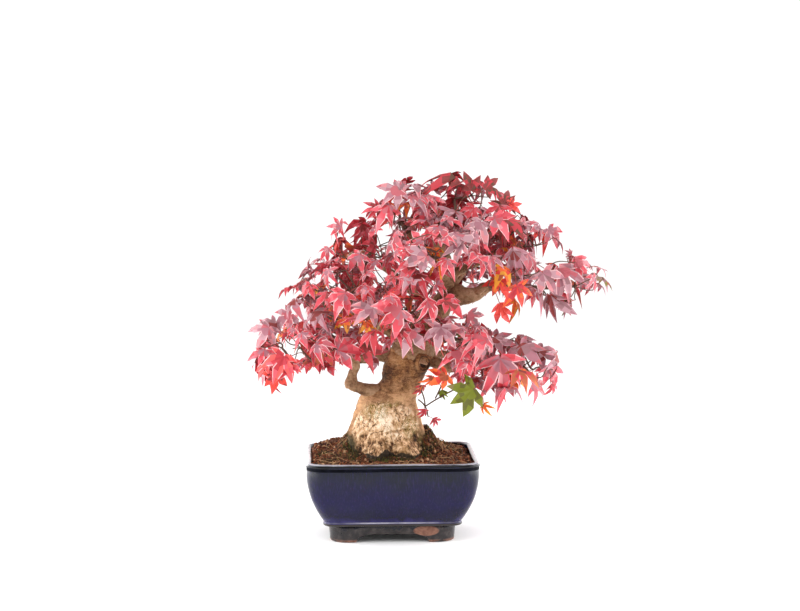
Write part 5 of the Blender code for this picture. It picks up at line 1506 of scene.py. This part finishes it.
def leaf_points(shape):
    """The 77 points of every leaf, flat and then bent. A lobe lies along its angle: its base
    row runs between the two sinuses, its belly and taper rows are straight across it, and it
    ends in a point. Upwards, a leaf folds up from each midrib with the distance from it and
    droops with the square of the distance from the heart. Each lobe bends down with the
    square of its reach past the sinuses, and twists with that reach."""
    turns, lengths = shape["turns"], shape["lengths"]
    count = len(turns)
    along = headings(turns)
    across = np.stack([-np.sin(turns), np.cos(turns)], -1)
    between = (turns[:, :-1] + turns[:, 1:]) / 2
    depth = SINUS * (lengths[:, :-1] + lengths[:, 1:]) / 2
    neck = np.full((count, 1), NECK_ANGLE)
    sinus_turn = np.concatenate([-neck, between, neck], axis=1)
    sinus_depth = np.concatenate([neck * 0 + NECK, depth, neck * 0 + NECK], axis=1)
    sinuses = sinus_depth[..., None] * headings(sinus_turn)
    middle = SINUS * lengths[..., None] * along
    rights, lefts = (side + (middle - side) * BASE_STEP
                     for side in (sinuses[:, :-1], sinuses[:, 1:]))
    base = np.stack([rights, middle, lefts], axis=2).reshape(count, 3 * LOBES, 2)
    rows, offsets = [], []
    for where, width in ((BELLY, BELLY_WIDTH), (TAPER, TAPER_WIDTH)):
        half = width * shape["widths"][:, None]
        steps = np.stack([-half, RIM - half, 0 * half, half - RIM, half], -1)
        steps = np.repeat(steps, LOBES, axis=1) * lengths[..., None]
        spot = ((where + shape["jags"]) * lengths[..., None])[..., None] * along[:, :, None]
        spot += steps[..., None] * across[:, :, None]
        rows.append(spot.reshape(count, 5 * LOBES, 2))
        offsets.append(steps.reshape(count, 5 * LOBES))
    tips = lengths[..., None] * along
    flat = np.concatenate([np.zeros((count, 1, 2)), sinuses, base, *rows, tips], axis=1)
    base_off = np.tile((-BASE_OFF, 0.0, BASE_OFF), LOBES)[None].repeat(count, 0)
    off = np.concatenate([np.zeros((count, 1)), np.full((count, LOBES + 1), SINUS_OFF),
                          base_off, *offsets, np.zeros((count, LOBES))], axis=1)
    reach = length(flat)
    angle = np.arctan2(flat[..., 1], flat[..., 0])
    past_sinus = np.clip(reach - SINUS, 0, None)
    number = np.arange(LOBES)
    lobe = np.concatenate([np.zeros(7, int), np.repeat(number, 3),
                           np.tile(np.repeat(number, 5), 2), number])
    lift = (shape["fold"][:, None] * np.abs(off) - shape["droop"][:, None] * reach ** 2
            - shape["bends"][:, lobe] * past_sinus ** 2
            + shape["twists"][:, lobe] * past_sinus * off
            + shape["cup"][:, None] * np.abs(flat[..., 1])
            + shape["wave"][:, None] * np.sin(3 * angle + shape["phase"][:, None]) * reach)
    return np.concatenate([flat, lift[..., None]], axis=-1)


def leaf_shapes(rng, count, narrow):
    """Every leaf's own lobes and bends. Narrow leaves have slim, closed, drooping lobes."""
    spread = np.where(narrow, NARROW_SPREAD, 1.0) * rng.normal(1.0, 0.06, count)
    return {
        "turns": LOBE_ANGLES * spread[:, None] + rng.normal(0, 0.07, (count, 5)),
        "lengths": LOBE_LENGTHS * rng.normal(1.0, 0.09, (count, 5)),
        "jags": (rng.normal(0.0, 0.03, (count, 5, 2))[..., (0, 0, 0, 1, 1)]
                 * (1.0, 1.0, 0.0, 1.0, 1.0)),
        "widths": np.where(narrow, NARROW_WIDTH, 1.0) * rng.normal(1.0, 0.1, count),
        "fold": rng.uniform(0.15, 0.65, count) + 0.2 * narrow,
        "droop": rng.uniform(0.0, 0.3, count) + 0.15 * narrow,
        "bends": np.clip(rng.normal(0.7, 0.8, (count, 5)), -0.5, 1.8) + 0.3 * narrow[:, None],
        "twists": np.clip(rng.normal(0.0, 1.3, (count, 5)), -1.8, 1.8),
        "cup": rng.normal(-0.05, 0.2, count),
        "wave": rng.uniform(0.0, 0.09, count),
        "phase": rng.uniform(0, 6.3, count),
    }


def draw_dresses(rng, shares, count):
    """Names of dresses drawn by their shares."""
    odds = np.array(list(shares.values()), float)
    return rng.choice(list(shares), count, p=odds / odds.sum())


def deal_dresses(growth):
    """A dress for each leaf: a spray keeps to one of its mass's shares, now and then a leaf
    has another, and inside the crown they are darker."""
    rng, hearts, sprays = growth["rng"], growth["hearts"], growth["sprays"]
    shares = MASSES[MASS_NAMES[growth["mass"]]].dresses
    of_spray = draw_dresses(rng, shares, sprays.max() + 1)[sprays]
    own = draw_dresses(rng, shares, len(hearts))
    dress = np.where(rng.random(len(own)) < SPRAY_SHARE, of_spray, own)
    inner = space_depths(hearts)[:, growth["mass"]] < INNER_DEPTH
    return np.where(inner, draw_dresses(rng, INNER_DRESSES, len(own)), dress)


def tint_leaves(rng, dresses):
    """A tint for each face of every leaf. They fade from the heart to the tips, a little
    sooner or later on each leaf and lobe, some faces are flecks, and most of the rim has a
    tint of its own."""
    lobe, out, rim = leaf_faces()[2].T
    count, number = len(dresses), TINT_NAMES.index
    fades, flecks = (np.array([[number(tint) for tint in DRESSES[name][part]]
                               for name in dresses]) for part in (0, 1))
    rims = np.array([number(DRESSES[name][2]) for name in dresses])
    level = (out + rng.uniform(-0.25, 0.2, (count, 1))
             + rng.normal(0, 0.1, (count, 5))[:, lobe.astype(int)]
             + rng.normal(0, 0.1, (count, len(out))))
    tints = np.take_along_axis(fades, np.clip(level * 4, 0, 3).astype(int), 1)
    fleck = np.take_along_axis(flecks, rng.integers(2, size=tints.shape), 1)
    tints = np.where(rng.random(tints.shape) < FLECK_SHARE, fleck, tints)
    return np.where((rim > 0) & (rng.random(tints.shape) < RIM_SHARE), rims[:, None], tints)


def lay_leaves(rng, hearts, ways, size, narrow):
    """Every leaf's points, laid along its own three ways from its heart."""
    axes, sides, faces = ways
    bent = leaf_points(leaf_shapes(rng, len(hearts), narrow)) * size[:, None, None]
    return (hearts[:, None] + bent[..., :1] * axes[:, None] + bent[..., 1:2] * sides[:, None]
            + bent[..., 2:] * faces[:, None])


def shape_leaves(growth):
    """The leaves of a mass: those of its rule, without those that stand in the air's way or
    close before one that is shown, and then its shown ones."""
    rng, hearts = growth["rng"], growth["hearts"]
    ways = leaf_ways(growth)
    size = LEAF_RADIUS * rng.uniform(*LEAF_SIZES, len(hearts))
    spots = lay_leaves(rng, hearts, ways, size, rng.random(len(hearts)) < NARROW_SHARE)
    tints = tint_leaves(rng, deal_dresses(growth))
    stay = in_the_air(spots).mean(axis=1) < MOST_IN_AIR
    spots_x, spots_z, _ = plane_of_view(spots)
    for x, z in GLINTS:
        stay &= np.hypot(spots_x - x, spots_z - z).min(axis=1) > GLINT_RADIUS
    hearts_x, hearts_z, hearts_y = plane_of_view(hearts)
    for (x, z, y), _, _, reach, _ in sum(SHOWN_LEAVES.values(), ()):
        over = np.hypot(hearts_x - x, hearts_z - z) < SHOWN_SHARE * reach
        stay &= ~(over & (hearts_y < y + SHOWN_DEPTH))
    parts = [{"spots": spots[stay], "tints": tints[stay], "axes": ways[0][stay],
              "hearts": hearts[stay], "roots": growth["roots"][stay]}]
    own = SHOWN_LEAVES.get(MASS_NAMES[growth["mass"]])
    if own:
        places, axes, faces, sizes, dresses = zip(*own)
        shown = np.array([behind(*place) for place in places])
        ways = square_ways(unit(np.array(axes, float)), unit(np.array(faces, float)))
        narrow = np.array([dress.startswith("narrow") for dress in dresses])
        spots = lay_leaves(rng, shown, ways, np.array(sizes, float), narrow)
        tints = tint_leaves(rng, [dress.split()[-1] for dress in dresses])
        joints = growth["joints"]
        nearest = length(joints[None] - shown[:, None]).argmin(1)
        parts.append({"spots": spots, "tints": tints, "axes": ways[0], "hearts": shown,
                      "roots": joints[nearest]})
    growth.update({key: joined(parts, key) for key in parts[0]})


def joined(growths, key):
    """One of the growths' arrays, joined end to end."""
    return np.concatenate([growth[key] for growth in growths])


def build_leaves(name, growths, materials):
    """The leaves of these masses joined in one piece, with a slot for each tint."""
    quads, tips, _ = leaf_faces()
    points, tints = joined(growths, "spots"), joined(growths, "tints")
    faces = [copied_faces(part, LEAF_POINTS, len(points)) for part in (quads, tips)]
    slots = np.concatenate([part.reshape(-1) for part in np.split(tints, [len(quads)], axis=1)])
    return new_piece(name, points, faces, materials, slots)


def build_foliage(twig_bark, stalk, tints):
    """Grows every mass, and joins their twigs, their stalks, and their blades in groups."""
    growths = [grow_mass(mass) for mass in range(len(MASSES))]
    hang_sprig(growths[MASS_NAMES.index(SPRIG_MASS)])
    for growth in growths:
        shape_leaves(growth)
    twigs = new_tubes("fine_twigs", joined(growths, "paths"), joined(growths, "widths"),
                      TWIG_SIDES, [twig_bark])
    hearts, roots = joined(growths, "hearts"), joined(growths, "roots")
    straight = unit(hearts - roots)
    paths = bowed_paths(roots, hearts, unit(straight + (0, 0, 0.35)),
                        unit(straight + 0.8 * joined(growths, "axes")), STALK_ROWS)
    radii = np.broadcast_to(np.linspace(STALK_RADIUS, STALK_RADIUS * 0.85, STALK_ROWS),
                            paths.shape[:2])
    stalks = new_tubes("leaf_stalks", paths, radii, STALK_SIDES, [stalk])
    made = [twigs, stalks]
    for group, names in BLADE_GROUPS.items():
        chosen = [growth for growth in growths if MASS_NAMES[growth["mass"]] in names]
        leaves = build_leaves(f"{group}_leaf_blades", chosen, tints)
        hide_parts(*names)
        made.append(leaves)
    return made


# scene ----------------------------------------------------------------------------------

def set_up(name, data, spot, aim):
    """An object with this data at the spot, turned to look along the aim."""
    holder = bpy.data.objects.new(name, data)
    holder.location = spot
    holder.rotation_euler = aim.to_track_quat("-Z", "Y").to_euler()
    bpy.context.scene.collection.objects.link(holder)
    return holder


def build_camera():
    """Looks from the front, a little from above and from the left, at the whole tree."""
    camera = bpy.data.cameras.new("camera")
    camera.lens, camera.sensor_width = LENS, SENSOR
    camera.clip_end = 20.0
    away = Vector(view_ways()[2])
    spot = Vector(place(TARGET)) + away * VIEW_DISTANCE * MM
    bpy.context.scene.camera = set_up("camera", camera, spot, -away)


def build_bank(name, spot, target, width, height, power):
    """A soft bank of light that faces its target."""
    light = bpy.data.lights.new(name, "AREA")
    light.shape = "RECTANGLE"
    light.size, light.size_y, light.energy = width, height, power
    set_up(name, light, spot, Vector(target) - Vector(spot))


def build_studio():
    """White all round but for a dimmer stretch low in front, a soft bank of light above, a
    bright strip on either side, and a low bank over the floor on either side."""
    world = bpy.data.worlds.new("studio")
    world.use_nodes = True
    nodes, links = world.node_tree.nodes, world.node_tree.links
    way, tilt, split, dim = (nodes.new(f"ShaderNode{kind}") for kind in (
        "TexCoord", "Mapping", "SeparateXYZ", "MapRange"))
    shade = nodes["Background"]
    tilt.inputs["Rotation"].default_value = (math.radians(WORLD_TILT), 0.0, 0.0)
    for key, value in zip(("From Min", "From Max", "To Min", "To Max"),
                          (*WORLD_LEVELS, *WORLD_STRENGTHS)):
        dim.inputs[key].default_value = value
    shade.inputs["Color"].default_value = (1.0, 1.0, 1.0, 1.0)
    for source, socket in ((way.outputs["Generated"], tilt.inputs["Vector"]),
                           (tilt.outputs["Vector"], split.inputs["Vector"]),
                           (split.outputs["Y"], dim.inputs["Value"]),
                           (dim.outputs["Result"], shade.inputs["Strength"])):
        links.new(source, socket)
    bpy.context.scene.world = world
    for bank in BANKS:
        build_bank(*bank)
    reach = np.array(((-1, -1), (1, -1), (1, 1), (-1, 1))) * FLOOR_REACH
    floor = new_piece("floor", np.column_stack([reach, np.zeros(4)]), [np.arange(4)[None]],
                      [plain("pale_floor", (250, 250, 250), 0.9)])


def build():
    """Makes every piece, hides the model's solids that they stand for, and sets each piece on
    the root body.
    """
    bowl, foot = build_bowl(glaze_finish(), under_lip_finish()), build_foot(foot_finish())
    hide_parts("pot")
    bed = build_soil(soil_finish())
    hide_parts("soil")
    dressing = [build_granules([granule_finish(*crumb) for crumb in CRUMB_FINISHES]),
                build_fibres([plain(*fibre) for fibre in FIBRE_FINISHES]),
                build_moss([plain(*moss) for moss in MOSS_FINISHES])]
    trunk = build_trunk(bark_finish())
    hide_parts("trunk")
    pieces = [bowl, foot, bed, *dressing, trunk]
    bough_bark = bough_finish()
    for name in LIMBS:
        limb = build_limb(name, bough_bark)
        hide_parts(name)
        pieces.append(limb)
    tints = [plain(f"{name}_leaf", colour, 0.55) for name, colour in TINTS.items()]
    foliage = build_foliage(plain("twig_bark", (92, 66, 52), 0.8),
                            plain("stalk_red", (158, 62, 54), 0.6), tints)
    for piece in (*pieces, *foliage):
        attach(piece, "root")


build()
build_studio()
build_camera()
bpy.context.scene.view_settings.view_transform = "Standard"
